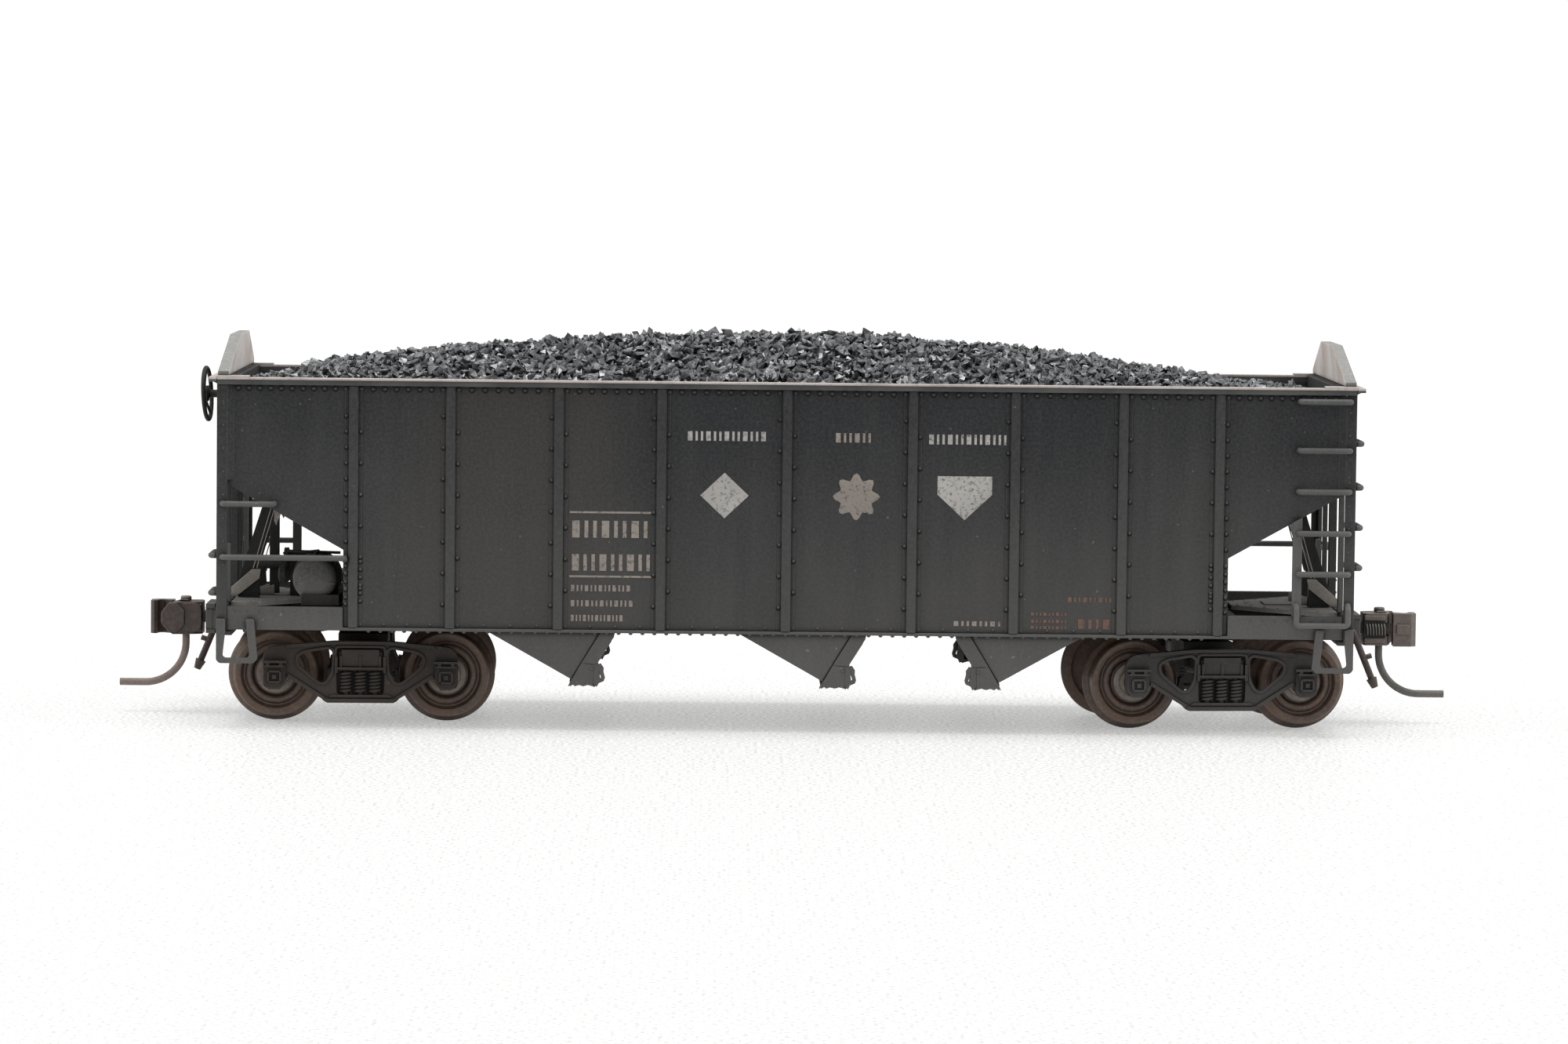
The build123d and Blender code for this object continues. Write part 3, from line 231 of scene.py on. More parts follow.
class Finish:
    """A material whose pattern is worked out from the piece's own coordinates, in metres."""

    def __init__(self, name):
        self.material = bpy.data.materials.new(name)
        self.material.use_nodes = True
        self.tree = self.material.node_tree
        self.bsdf = self.tree.nodes["Principled BSDF"]
        where = self.node("ShaderNodeTexCoord").outputs
        self.place, self.facing = where["Object"], where["Normal"]
        self.x, _, self.z = self.node("ShaderNodeSeparateXYZ", Vector=self.place).outputs

    def node(self, kind, settings=None, **inputs):
        """A new node with its settings, and with values or links on its inputs."""
        made = self.tree.nodes.new(kind)
        for key, value in (settings or {}).items():
            setattr(made, key, value)
        for key, value in inputs.items():
            self.put(made.inputs[key.replace("_", " ")], value)
        return made

    def put(self, socket, value):
        if isinstance(value, bpy.types.NodeSocket):
            self.tree.links.new(value, socket)
        else:
            socket.default_value = value

    def sum(self, op, a, b=0.0, c=0.0, clamp=False):
        """One step of arithmetic."""
        made = self.node("ShaderNodeMath", {"operation": op, "use_clamp": clamp})
        for socket, value in zip(made.inputs, (a, b, c)):
            self.put(socket, value)
        return made.outputs[0]

    def noise(self, size_mm, detail=3.0, stretch=(1, 1, 1), rough=0.55):
        """A random pattern from 0 to 1, whose patches are about size_mm across."""
        spread = self.node("ShaderNodeMapping", Vector=self.place, Scale=stretch)
        made = self.node(
            "ShaderNodeTexNoise",
            Vector=spread.outputs[0],
            Scale=1 / (size_mm * MM),
            Detail=detail,
            Roughness=rough,
        )
        return made.outputs[0]

    def span(self, value, low, high, to_low=0.0, to_high=1.0):
        """The value, eased from the range low..high to the range to_low..to_high."""
        made = self.node("ShaderNodeMapRange", {"interpolation_type": "SMOOTHSTEP"})
        for socket, given in zip(made.inputs, (value, low, high, to_low, to_high)):
            self.put(socket, given)
        return made.outputs[0]

    def mix(self, share, a, b):
        """The colour a where share is 0, and b where it is 1."""
        made = self.node("ShaderNodeMix", {"data_type": "RGBA"})
        self.put(made.inputs[0], share)
        for socket, colour in zip(made.inputs[6:8], (a, b)):
            self.put(socket, (*colour, 1.0) if isinstance(colour, tuple) else colour)
        return made.outputs[2]

    def outside_edges(self, radius_mm):
        """1 on outside corners, 0 on flat faces."""
        round_off = self.node("ShaderNodeBevel", {"samples": 3}, Radius=radius_mm * MM)
        flat = self.node("ShaderNodeNewGeometry").outputs["Normal"]
        dot = self.node("ShaderNodeVectorMath", {"operation": "DOT_PRODUCT"})
        self.put(dot.inputs[0], round_off.outputs[0])
        self.put(dot.inputs[1], flat)
        return self.span(dot.outputs["Value"], 0.985, 0.86)

    def done(self, colour, roughness, height, depth_mm, specular=0.35, metallic=0.0, grime_and_shade=0.75, reach=0.7):
        """The finished material. Its corners are darkened by ambient occlusion: dark grime that settles
        there, and painted shade.
        """
        if grime_and_shade:
            # Ambient occlusion darkens the colour in corners and under overhangs: grime, and painted shade.
            shade = self.node("ShaderNodeAmbientOcclusion", {"samples": 6}, Distance=reach * MM).outputs["AO"]
            colour = self.mix(self.span(shade, 0.45, 0.97, grime_and_shade, 0.0), colour, (0.004, 0.004, 0.004))
        self.put(self.bsdf.inputs["Base Color"], colour)
        self.put(self.bsdf.inputs["Roughness"], roughness)
        self.bsdf.inputs["Specular IOR Level"].default_value = specular
        self.bsdf.inputs["Metallic"].default_value = metallic
        bump = self.node("ShaderNodeBump", Height=height, Strength=1.0, Distance=depth_mm * MM)
        self.put(self.bsdf.inputs["Normal"], bump.outputs[0])
        return self.material


def tone(colour, factor):
    """The colour, lighter or darker."""
    return tuple(min(1.0, c * factor) for c in colour)


brown_patch_x = -30


def painted(name, base, dust_and_floor_light, heights, dust_and_light_shares, brown=None, specular=0.22, grime_and_shade=0.75):
    """Airbrushed plastic: base paint, lighter downwards from road dust and painted light off the floor,
    speckle, and edges lighter from wear and a painted highlight.

    The lighter colour, road dust with painted floor light, goes from the first to the second of the two
    shares between the two heights.
    """
    f = Finish(name)
    blotch = f.noise(26, 4)
    cloud = f.noise(9, 5)
    grain = f.noise(0.35, 2)
    streak = f.noise(2.2, 4, stretch=(1, 1, 0.09))
    # Lighter downwards: road dust, and painted light from the floor below.
    rise = f.span(f.z, heights[0] * MM, heights[1] * MM, *dust_and_light_shares)
    amount = f.sum("MULTIPLY_ADD", f.span(blotch, 0.3, 0.7, -0.12, 0.12), 1.0, rise)
    amount = f.sum("MULTIPLY_ADD", f.span(streak, 0.35, 0.75, -0.05, 0.1), 1.0, amount)
    amount = f.sum("MULTIPLY_ADD", f.span(cloud, 0.3, 0.7, -0.05, 0.05), 1.0, amount, clamp=True)
    colour = f.mix(amount, base, dust_and_floor_light)
    if brown:
        away = f.sum("ABSOLUTE", f.sum("ADD", f.x, -brown_patch_x * MM))
        nearness = f.span(away, 3 * MM, 17 * MM, 0.5, 0.0)
        near_cloud = f.sum("MULTIPLY", nearness, f.span(cloud, 0.2, 0.6, 0.5, 1.0))
        colour = f.mix(near_cloud, colour, brown)
        colour = f.mix(f.span(blotch, 0.55, 0.8, 0.0, 0.4), colour, brown)
    colour = f.mix(f.span(grain, 0.25, 0.8, 0.0, 0.22), colour, tone(dust_and_floor_light, 1.5))
    fleck = f.span(f.noise(0.5, 0), 0.82, 0.85)
    colour = f.mix(f.sum("MULTIPLY", fleck, 0.28), colour, tone(dust_and_floor_light, 3.5))
    # Lighter outside edges: worn paint, and a painted highlight.
    colour = f.mix(f.sum("MULTIPLY", f.outside_edges(0.12), 0.45), colour, tone(dust_and_floor_light, 1.9))
    rough = f.span(cloud, 0.3, 0.7, 0.55, 0.8)
    return f.done(colour, rough, grain, 0.012, specular, grime_and_shade=grime_and_shade)


def peak_finish(name):
    """Paint that is pale on the faces along the car and greyer on the faces that slope to its sides."""
    f = Finish(name)
    cloud, grain = f.noise(7, 4), f.noise(0.5, 3)
    along = f.sum("ABSOLUTE", f.node("ShaderNodeSeparateXYZ", Vector=f.facing).outputs["X"])
    along_colour = f.mix(f.span(cloud, 0.35, 0.7), (0.66, 0.625, 0.60), (0.50, 0.42, 0.36))
    grey = f.mix(f.span(cloud, 0.3, 0.7), (0.205, 0.207, 0.198), (0.235, 0.232, 0.22))
    colour = f.mix(f.span(along, 0.6, 0.88), grey, along_colour)
    colour = f.mix(f.span(grain, 0.4, 0.8, 0.0, 0.2), colour, (0.56, 0.53, 0.50))
    # Lighter outside edges: worn paint, and a painted highlight.
    colour = f.mix(f.sum("MULTIPLY", f.outside_edges(0.12), 0.5), colour, (0.60, 0.57, 0.54))
    return f.done(colour, f.span(cloud, 0.3, 0.7, 0.55, 0.8), grain, 0.012, 0.22, grime_and_shade=0.75)


rail_lip_z = (38.96, 39.0)


def rail_finish(name):
    """Black rail whose thin top lip is pale: rubbed wear, and a painted highlight from the light above."""
    f = Finish(name)
    grain = f.noise(0.4, 3)
    lip = f.span(f.z, rail_lip_z[0] * MM, rail_lip_z[1] * MM)
    # The pale lip: rubbed wear, and a painted highlight.
    lip_wear_and_highlight = f.sum("MULTIPLY", lip, f.span(f.noise(5, 4), 0.25, 0.5, 0.6, 1.0))
    dark = f.mix(f.span(f.noise(6, 4), 0.3, 0.7), (0.042, 0.042, 0.043), (0.082, 0.080, 0.079))
    colour = f.mix(lip_wear_and_highlight, dark, (0.42, 0.375, 0.35))
    colour = f.mix(f.span(grain, 0.45, 0.8, 0.0, 0.35), colour, (0.10, 0.09, 0.085))
    return f.done(colour, f.span(grain, 0.3, 0.7, 0.5, 0.7), grain, 0.02, 0.25, grime_and_shade=0.5)


def lettering(name, paint, body):
    """Old stencil paint, rubbed through to the body colour here and there."""
    f = Finish(name)
    rub = f.span(f.noise(0.4, 3, rough=0.7), 0.30, 0.50, 0.25, 1.0)
    fade = f.span(f.noise(6, 3), 0.3, 0.75, 0.75, 1.0)
    colour = f.mix(f.sum("MULTIPLY", rub, fade), body, paint)
    return f.done(colour, f.span(rub, 0, 1, 0.7, 0.55), rub, 0.01)


def coal_finish(name):
    """Broken coal: some faces dull and sooty, most of them shiny."""
    f = Finish(name)
    patch = f.noise(1.0, 1)
    colour = f.mix(f.span(patch, 0.40, 0.60), (0.004, 0.0045, 0.006), (0.10, 0.104, 0.112))
    colour = f.mix(f.span(f.noise(7, 3), 0.55, 0.8, 0.0, 0.3), colour, (0.17, 0.17, 0.168))
    # Lighter coal edges: a painted highlight.
    colour = f.mix(f.sum("MULTIPLY", f.outside_edges(0.1), 0.5), colour, (0.26, 0.27, 0.28))
    rough = f.span(f.noise(0.8, 2), 0.35, 0.65, 0.10, 0.38)
    return f.done(colour, rough, f.noise(0.3, 3), 0.05, specular=1.0, grime_and_shade=0.8, reach=0.5)


def rusty(name, base, rust, pale, specular=0.3, metallic=0.0, grime_and_shade=0.6):
    """Rust-brown paint over metal or plastic, powdery in places, its edges lighter from rubbing and from a
    painted highlight.
    """
    f = Finish(name)
    broad = f.noise(4, 4)
    fine = f.noise(0.4, 3)
    colour = f.mix(f.span(broad, 0.35, 0.68), base, rust)
    colour = f.mix(f.span(fine, 0.4, 0.75, 0.0, 0.45), colour, pale)
    # Lighter outside edges: rubbed paint, and a painted highlight.
    colour = f.mix(f.sum("MULTIPLY", f.outside_edges(0.15), 0.5), colour, tone(pale, 1.3))
    return f.done(colour, f.span(broad, 0.3, 0.7, 0.36, 0.6), fine, 0.02, specular, metallic, grime_and_shade, 0.9)


soot = (0.035, 0.035, 0.036)
body_heights = (11, 38)
truck_heights = (2, 10)

black = painted(
    "body_black", (0.0150, 0.0158, 0.0178), (0.064, 0.063, 0.061), body_heights, (0.68, 0.07),
    brown=(0.053, 0.046, 0.039),
)
post_black = painted("post_black", (0.019, 0.0192, 0.0205), (0.070, 0.069, 0.067), body_heights, (0.74, 0.2))
# The body's paint made lighter for the rivet domes: a painted highlight for the light they catch.
rivet_highlight_paint = painted(
    "rivet_highlight_paint", (0.026, 0.0265, 0.028), (0.080, 0.078, 0.075), body_heights, (0.7, 0.15),
    specular=0.35, grime_and_shade=0.4,
)
# Near-black paint for thin pieces that stand for shadow and shade: painted shade.
painted_shadow = painted(
    "painted_shadow", (0.005, 0.005, 0.005), (0.014, 0.013, 0.012), body_heights, (0.5, 0.1),
    specular=0.1, grime_and_shade=0.0,
)
dark_gear = painted("gear_black", (0.009, 0.009, 0.009), (0.045, 0.043, 0.040), (5, 40), (0.34, 0.2))
sill_black = painted("sill_black", (0.033, 0.033, 0.032), (0.092, 0.090, 0.086), (9, 16), (0.8, 0.6))
rod_paint = painted(
    "rod_paint", (0.024, 0.024, 0.024), (0.086, 0.084, 0.081), (9, 30), (0.8, 0.4),
    specular=0.7, grime_and_shade=0.4,
)
# Much lighter on its lower half: painted light from the floor below, with some road dust.
tank_paint = painted(
    "tank_paint", (0.024, 0.024, 0.024), (0.135, 0.13, 0.124), (14.0, 18.0), (1.0, 0.2),
    specular=0.3, grime_and_shade=0.35,
)
rail_paint = rail_finish("rail_paint")
peak_paint = peak_finish("peak_paint")
deck_paint = painted("deck_paint", (0.13, 0.127, 0.121), (0.29, 0.28, 0.26), (12, 17), (0.6, 0.5))
pale_dust_and_highlight = painted("pale_dust_and_highlight", (0.16, 0.15, 0.135), (0.34, 0.31, 0.28), (13, 24), (0.6, 0.6))
inside_paint = painted("inside_paint", (0.05, 0.040, 0.033), (0.12, 0.10, 0.085), (10, 40), (0.5, 0.5))
truck_brown = painted(
    "truck_brown", (0.011, 0.009, 0.0075), (0.042, 0.032, 0.026), truck_heights, (0.75, 0.3), specular=0.4
)
truck_grey = painted(
    "truck_grey", (0.015, 0.014, 0.0135), (0.058, 0.054, 0.050), truck_heights, (0.75, 0.3), specular=0.4
)
coal_black = coal_finish("coal_black")
wheel_brown = rusty(
    "wheel_brown", (0.066, 0.042, 0.031), (0.110, 0.067, 0.046), (0.175, 0.122, 0.09), 0.5, grime_and_shade=0.75
)
hub_metal = rusty("hub_metal", (0.10, 0.075, 0.06), (0.14, 0.10, 0.08), (0.24, 0.20, 0.17), 0.5)
coupler_brown = rusty(
    "coupler_brown", (0.038, 0.026, 0.022), (0.058, 0.040, 0.033), (0.105, 0.078, 0.067), 0.4
)
coupler_grey = rusty("coupler_grey", (0.098, 0.078, 0.067), (0.125, 0.100, 0.086), (0.19, 0.155, 0.137), 0.4)
pin_brown = rusty("pin_brown", (0.15, 0.115, 0.098), (0.20, 0.155, 0.132), (0.28, 0.22, 0.19), 0.4)
pin_grey = rusty("pin_grey", (0.092, 0.087, 0.079), (0.12, 0.112, 0.10), (0.17, 0.16, 0.145), 0.4)
hub_bright = rusty("hub_bright", (0.17, 0.145, 0.12), (0.085, 0.055, 0.04), (0.24, 0.20, 0.17), 0.5, 0.3, 0.5)
steel = rusty("dull_steel", (0.20, 0.19, 0.18), (0.12, 0.10, 0.09), (0.35, 0.33, 0.31), 0.5, 0.6)
mark_pale = lettering("mark_pale", (0.40, 0.385, 0.36), soot)
mark_dim = lettering("mark_dim", (0.27, 0.235, 0.205), soot)
mark_brown = lettering("mark_brown", (0.16, 0.085, 0.06), soot)
cast_of = {"a": coupler_grey, "b": coupler_brown}
pin_of = {"a": pin_grey, "b": pin_brown}
truck_paint_of = {"a": truck_grey, "b": truck_brown}

# ------------------------------------------------------------------ CAD pieces that are shown

finishes = {}
for material, names in (
    (black, "side_sheet_left side_sheet_right corner_posts end_sheets end_posts"),
    (post_black, "side_posts"),
    (rail_paint, "top_rails"),
    (peak_paint, "end_peaks"),
    (sill_black, "side_sills end_sills bay_side_sheets outlet_frames stirrup_steps coupler_boxes box_lids"),
    (deck_paint, "end_platforms"),
    (inside_paint, "cross_ridge_sheets"),
    (rod_paint, "ladders grab_irons"),
    (dark_gear, "end_braces slope_sheet_a slope_sheet_b hopper_doors centre_sill body_bolsters"),
    (dark_gear, "brake_cylinder control_valve brake_pipes brake_gear_case hand_brake_rod"),
    (coupler_brown, "air_hoses"),
    (steel, "ballast_weights centring_springs screws"),
):
    finishes.update(dict.fromkeys(names.split(), material))
for end in "ab":
    finishes[f"truck_bolster_{end}"] = truck_paint_of[end]
    finishes[f"coupler_head_{end}"] = cast_of[end]
    finishes[f"knuckle_{end}"] = cast_of[end]
    finishes[f"trip_pin_{end}"] = pin_of[end]
    for where in ("inner", "outer"):
        finishes[f"axle_{end}_{where}"] = hub_metal
usual_edge = 0.07
edge_width = {
    "side_sheet_left": 0.05,
    "side_sheet_right": 0.05,
    "side_posts": 0.08,
    "end_peaks": 0.15,
    "coupler_head_a": 0.16,
    "coupler_head_b": 0.16,
    "knuckle_a": 0.16,
    "knuckle_b": 0.16,
    "stirrup_steps": 0.12,
    "side_sills": 0.1,
}
for name, material in finishes.items():
    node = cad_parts[name]
    node.data.materials.clear()
    node.data.materials.append(material)
    soften(node, edge_width.get(name, usual_edge), weld=True)

# ------------------------------------------------------------------ sides: flanges, rivets, marks

sheet_y = 17.5
flange_thick = 0.07
flange_half = 1.02
sill_edge_z = 11.05
rail_underside_z = 38.35
post_x = sorted([0.0] + [end * x for x in (14.0, 25.45, 37.5, 48.3) for end in (-1, 1)])
flanges = Shape()
rivets, rivet_shadows = Shape(), Shape()


def shadowed_rivet(point, side, radius, height):
    """A rivet on a side sheet, with a flat dark ring just below it: a painted shadow."""
    x, y, z = point
    rivets.rivet(point, (0, side, 0), radius, height)
    # A flat dark ring a little below the rivet: its painted shadow.
    rivet_shadows.rivet((x, y, z - 0.11), (0, side, 0), radius + 0.09, 0.035)


def post_rivets(x, side):
    """Two columns of rivets beside a post; the outermost posts also have close ones low down."""
    column = 0.79
    if abs(x) > 48:
        outer, inner = x + math.copysign(column, x), x - math.copysign(column, x)
        columns = [(outer, 35.05, 1.75, 13.0), (inner, 33.3, 3.5, 13.0)]
        columns += [(outer, 19.2, 0.88, 14.0), (inner, 18.8, 0.88, 14.0)]
    else:
        columns = [(x + side * column, 35.1, 3.5, 12.6), (x - side * column, 33.3, 3.5, 12.6)]
    for column_x, z, spacing, lowest in columns:
        while z > lowest:
            shadowed_rivet((column_x, side * (sheet_y + flange_thick), z), side, 0.21, 0.22)
            z -= spacing


def panel_rivets(x0, x1, side):
    """The row under the top rail between two posts, with every second one repeated at the sill."""
    margin = 0.85
    run = x1 - x0 - 2 * margin
    near_middle = abs(x0) <= 37 or abs(x1) <= 37
    count = max(2, round(run / (1.44 if near_middle else 1.26)))
    for k in range(count + 1):
        x = x0 + margin + run * k / count
        shadowed_rivet((x, side * sheet_y, 38.08), side, 0.27, 0.3)
        if abs(x) < 48 and k % 2 == 0:
            rivets.rivet((x, side * sheet_y, 11.75), (0, side, 0), 0.16, 0.12)


for side in (-1, 1):
    out = (0, side, 0)
    low, high = sorted((side * sheet_y, side * (sheet_y + flange_thick)))
    for x in post_x:
        flanges.block((x - flange_half, low, 11.45), (x + flange_half, high, rail_underside_z))
        post_rivets(x, side)
    stops = [-62.0, *post_x, 62.0]
    for x0, x1 in zip(stops, stops[1:]):
        panel_rivets(x0, x1, side)
    for end in (-1, 1):
        for k in range(8):
            rivets.rivet((end * 62.75, side * 18.0, 36.5 - 2.6 * k), out, 0.14, 0.1)
        for k in range(9):
            rivets.rivet((end * (50.6 + 1.35 * k), side * 17.9, 13.2), out, 0.11, 0.08)
    for k in range(-35, 36):
        rivets.rivet((1.33 * k, side * 17.45, sill_edge_z), (0, 0, -1), 0.25, 0.24)

# The side sheet swells out to meet each corner post.
for end in (-1, 1):
    for side in (-1, 1):
        corner = [(end * 61.6, side * 17.48), (end * 62.36, side * 17.48), (end * 62.36, side * 17.98)]
        verts = [(x, y, z) for z in (27.8, rail_underside_z) for x, y in corner]
        flanges.add(verts, [[2, 1, 0], [3, 4, 5], [0, 1, 4, 3], [1, 2, 5, 4], [2, 0, 3, 5]])
flanges.make("post_flanges", black, "carbody", "body_paint", bevel=0.03)
rivets.make("side_rivets", rivet_highlight_paint, "carbody", "body_paint", smooth=60)
rivet_shadows.make("painted_shadow", painted_shadow, "carbody", "body_paint", smooth=60)

end_rivets = Shape()
for end in (-1, 1):
    face = end * 62.3
    out = (end, 0, 0)
    for y in (-15.6, -12.7, -4.2, 4.2, 12.7, 15.6):
        for k in range(5):
            if abs(y) > 5 or k:
                end_rivets.rivet((face, y, 37.3 - 2.2 * k), out, 0.17, 0.13)
    for k in range(25):
        end_rivets.rivet((face, -15.6 + 1.3 * k, 28.4), out, 0.15, 0.12)
    for y in (-8.5, 0.0, 8.5):
        for z in (15.0, 16.4, 30.0, 33.0, 36.0):
            if not (end < 0 and y > 8 and z > 30):
                end_rivets.rivet((end * 63.4, y, z), out, 0.16, 0.12)
    for k in range(12):
        y = -15.4 + 2.8 * k
        if abs(y) > 4.2:
            end_rivets.rivet((end * 63.3, y, 12.2), out, 0.16, 0.12)
end_rivets.make("end_rivets", rivet_highlight_paint, "carbody", "body_paint", smooth=60)

# Plain generic marks where the real car carries its lettering: shapes and bars, no letters.
mark_depth = 0.02
pale, dim, ruddy = Shape(), Shape(), Shape()


def mark(shape, side, outline):
    """A thin closed layer of paint on one side of the car, drawn as it is read from outside."""
    turned = [(x * -side, z) for x, z in outline]
    low, high = sorted((side * (sheet_y - 0.01), side * (sheet_y + mark_depth)))
    shape.prism(turned, low, high)


def bars(shape, side, x0, x1, z0, z1, count):
    """A row of plain upright bars, in groups of a wide one and two narrow ones."""
    gap = 1.3
    widths = [2.0 if k % 3 == 0 else 1.0 for k in range(count)]
    unit = (x1 - x0) / (sum(widths) + gap * (count - 1))
    x = x0
    for width in widths:
        mark(shape, side, [(x, z0), (x + width * unit, z0), (x + width * unit, z1), (x, z1)])
        x += (width + gap) * unit


petals, rosette_points = 8, 48
rosette = []
for k in range(rosette_points):
    r = 2.25 + 0.38 * math.cos(petals * 2 * math.pi * k / rosette_points)
    a = 2 * math.pi * k / rosette_points
    rosette.append((r * math.cos(a), r * math.sin(a)))
for side in (-1, 1):
    mark(pale, side, [(-9.65, 26.55), (-6.95, 24.0), (-4.25, 26.55), (-6.95, 29.1)])
    mark(dim, side, [(7.75 + x, 26.55 + z) for x, z in rosette])
    mark(pale, side, [(16.8, 28.95), (16.8, 26.9), (19.85, 24.05), (22.9, 26.9), (22.9, 28.95)])
    bars(pale, side, -11.1, -2.4, 32.65, 33.7, 13)
    bars(dim, side, 5.4, 9.3, 32.6, 33.65, 6)
    bars(pale, side, 15.8, 24.7, 32.5, 33.6, 13)
    for z in (24.42, 17.25):
        mark(dim, side, [(-24.2, z), (-14.9, z), (-14.9, z + 0.22), (-24.2, z + 0.22)])
    bars(dim, side, -23.9, -15.5, 21.7, 23.6, 8)
    bars(dim, side, -23.9, -15.2, 18.0, 19.85, 9)
    for z, length in ((15.7, 6.6), (14.0, 6.9), (12.35, 5.8)):
        bars(dim, side, -24.0, -24.0 + length, z, z + 0.7, 13)
    bars(ruddy, side, 31.5, 36.4, 15.0, 15.55, 9)
    bars(dim, side, 18.8, 24.0, 12.2, 12.75, 8)
    for z in (13.45, 12.65, 11.95):
        bars(ruddy, side, 27.4, 31.4, z, z + 0.35, 9)
    bars(ruddy, side, 32.7, 36.2, 12.0, 13.1, 4)
pale.make("marks_pale", mark_pale, "carbody", "body_paint", smooth=0)
dim.make("marks_dim", mark_dim, "carbody", "body_paint", smooth=0)
ruddy.make("marks_brown", mark_brown, "carbody", "body_paint", smooth=0)

# ------------------------------------------------------------------ coal

crest_line = [
    (-61.5, 37.9), (-58.5, 38.4), (-56.5, 38.9), (-54.5, 39.5), (-52, 40.1), (-49.5, 40.7), (-42, 41.5),
    (-38.8, 42.0), (-31.6, 42.5), (-24.5, 43.0), (-17, 43.5), (-3, 43.8), (8, 43.9), (15, 43.3),
    (22, 42.8), (29, 42.2), (36.5, 41.2), (40, 40.6), (44, 40.1), (49, 39.2), (54, 38.5), (57.5, 38.0),
    (61.5, 37.6),
]
crest_x, crest_z = zip(*crest_line)
heap_base_z = 36.45
edge_z = 38.25
load_x, load_y = 60.9, 16.1


def heap_z(x, y):
    """Height of the heap, with shallow hollows and humps in it."""
    crest = np.interp(x, crest_x, crest_z)
    fall = np.abs(y / load_y) ** 1.9
    waves = 0.18 * np.sin(x * 0.9 + y * 0.35) * np.cos(y * 0.8 - x * 0.21)
    waves = waves + 0.12 * np.sin(x * 2.3 + 1.7 * y)
    edge = np.minimum(edge_z, crest)
    return edge + (crest - edge) * (1 - fall) + waves * (1 - fall)


def lump():
    """Vertices and faces of one broken piece of coal, about 2 across."""
    work = bmesh.new()
    spread = rng.normal(size=(8, 3))
    spread /= np.linalg.norm(spread, axis=1)[:, None]
    for p in spread * rng.uniform(0.75, 1.2, (8, 1)):
        work.verts.new(p)
    made = bmesh.ops.convex_hull(work, input=work.verts)
    loose = [v for v in made["geom_unused"] + made["geom_interior"] if isinstance(v, bmesh.types.BMVert)]
    bmesh.ops.delete(work, geom=list(set(loose)), context="VERTS")
    work.verts.index_update()
    verts = np.array([v.co for v in work.verts])
    faces = np.array([[v.index for v in f.verts] for f in work.faces])
    work.free()
    return verts, faces


lumps = [lump() for _ in range(24)]
coal = Shape()
nx, ny = 150, 42
along_x, along_y = np.linspace(-load_x, load_x, nx), np.linspace(-load_y, load_y, ny)
grid_x, grid_y = np.meshgrid(along_x, along_y, indexing="ij")
top = heap_z(grid_x, grid_y) - 0.25 + rng.normal(0, 0.08, grid_x.shape)
top_verts = np.stack([grid_x, grid_y, top], -1).reshape(-1, 3)
coal_verts = [tuple(v) for v in top_verts]
cells = [i * ny + j for i in range(nx - 1) for j in range(ny - 1)]
coal_faces = [[c, c + ny, c + ny + 1, c + 1] for c in cells]
rim = [i * ny for i in range(nx)] + [(nx - 1) * ny + j for j in range(1, ny)]
rim += [i * ny + ny - 1 for i in range(nx - 2, -1, -1)] + [j for j in range(ny - 2, 0, -1)]
start = len(coal_verts)
coal_verts += [(coal_verts[i][0], coal_verts[i][1], heap_base_z) for i in rim]
count = len(rim)
for k in range(count):
    after = (k + 1) % count
    coal_faces.append([rim[k], start + k, start + after, rim[after]])
coal_faces.append([start + k for k in range(count)])
coal.add(coal_verts, coal_faces)
lump_pitch = 0.78
for gx in np.arange(-load_x + 0.5, load_x - 0.4, lump_pitch):
    for gy in np.arange(-load_y + 0.5, load_y - 0.4, lump_pitch):
        x = gx + rng.uniform(-0.32, 0.32)
        y = gy + rng.uniform(-0.32, 0.32)
        size = rng.uniform(0.32, 0.68) * (1.45 if rng.random() < 0.10 else 1.0)
        verts, faces = lumps[rng.integers(len(lumps))]
        turn = Matrix.Rotation(rng.uniform(0, 6.28), 3, Vector(rng.normal(size=3)))
        shape = np.array(turn) * (size * rng.uniform(0.7, 1.3, 3))
        z = float(heap_z(x, y)) - 0.15 + rng.uniform(-0.2, 0.3)
        coal.add((verts @ shape.T + (x, y, z)).tolist(), faces.tolist())
coal.make("coal_heap", coal_black, "load", "coal", smooth=0, stands_for=["coal_load"])

# ------------------------------------------------------------------ wheels and trucks

truck_x = 48.05
yaw = {"a": 5.8, "b": 1.6}
axle_offset = 9.63
axle_z = 5.45
# Profiles of a wheel and of its bright hub ring, as (distance from the car's middle, radius).
tread = [
    (7.25, 1.0), (7.25, 1.9), (7.45, 2.15), (7.9, 2.3), (7.95, 3.9), (7.6, 4.15), (7.25, 4.3),
    (7.25, 5.2), (7.34, 5.38), (7.5, 5.45), (7.68, 5.43), (7.85, 5.3), (7.95, 5.05), (8.1, 4.87),
    (8.35, 4.81), (9.8, 4.74), (9.96, 4.68), (10.05, 4.55), (10.02, 4.1), (9.95, 3.95), (9.78, 3.86),
    (9.52, 3.78), (9.38, 3.64), (9.36, 3.48), (9.46, 3.36), (9.56, 3.2), (9.6, 3.0), (9.56, 2.8),
    (9.44, 2.66), (9.26, 2.56), (9.16, 2.42), (9.2, 2.28), (9.38, 2.18), (9.6, 2.08), (9.66, 1.95),
    (9.64, 1.66), (9.5, 1.56), (9.55, 1.42), (9.95, 1.34), (10.0, 1.24), (10.0, 1.0),
]
hub_ring = [
    (9.3, 1.1), (9.3, 2.2), (9.5, 2.3), (9.68, 2.18), (9.78, 1.95), (9.78, 1.6), (10.0, 1.5), (10.05, 1.1),
]


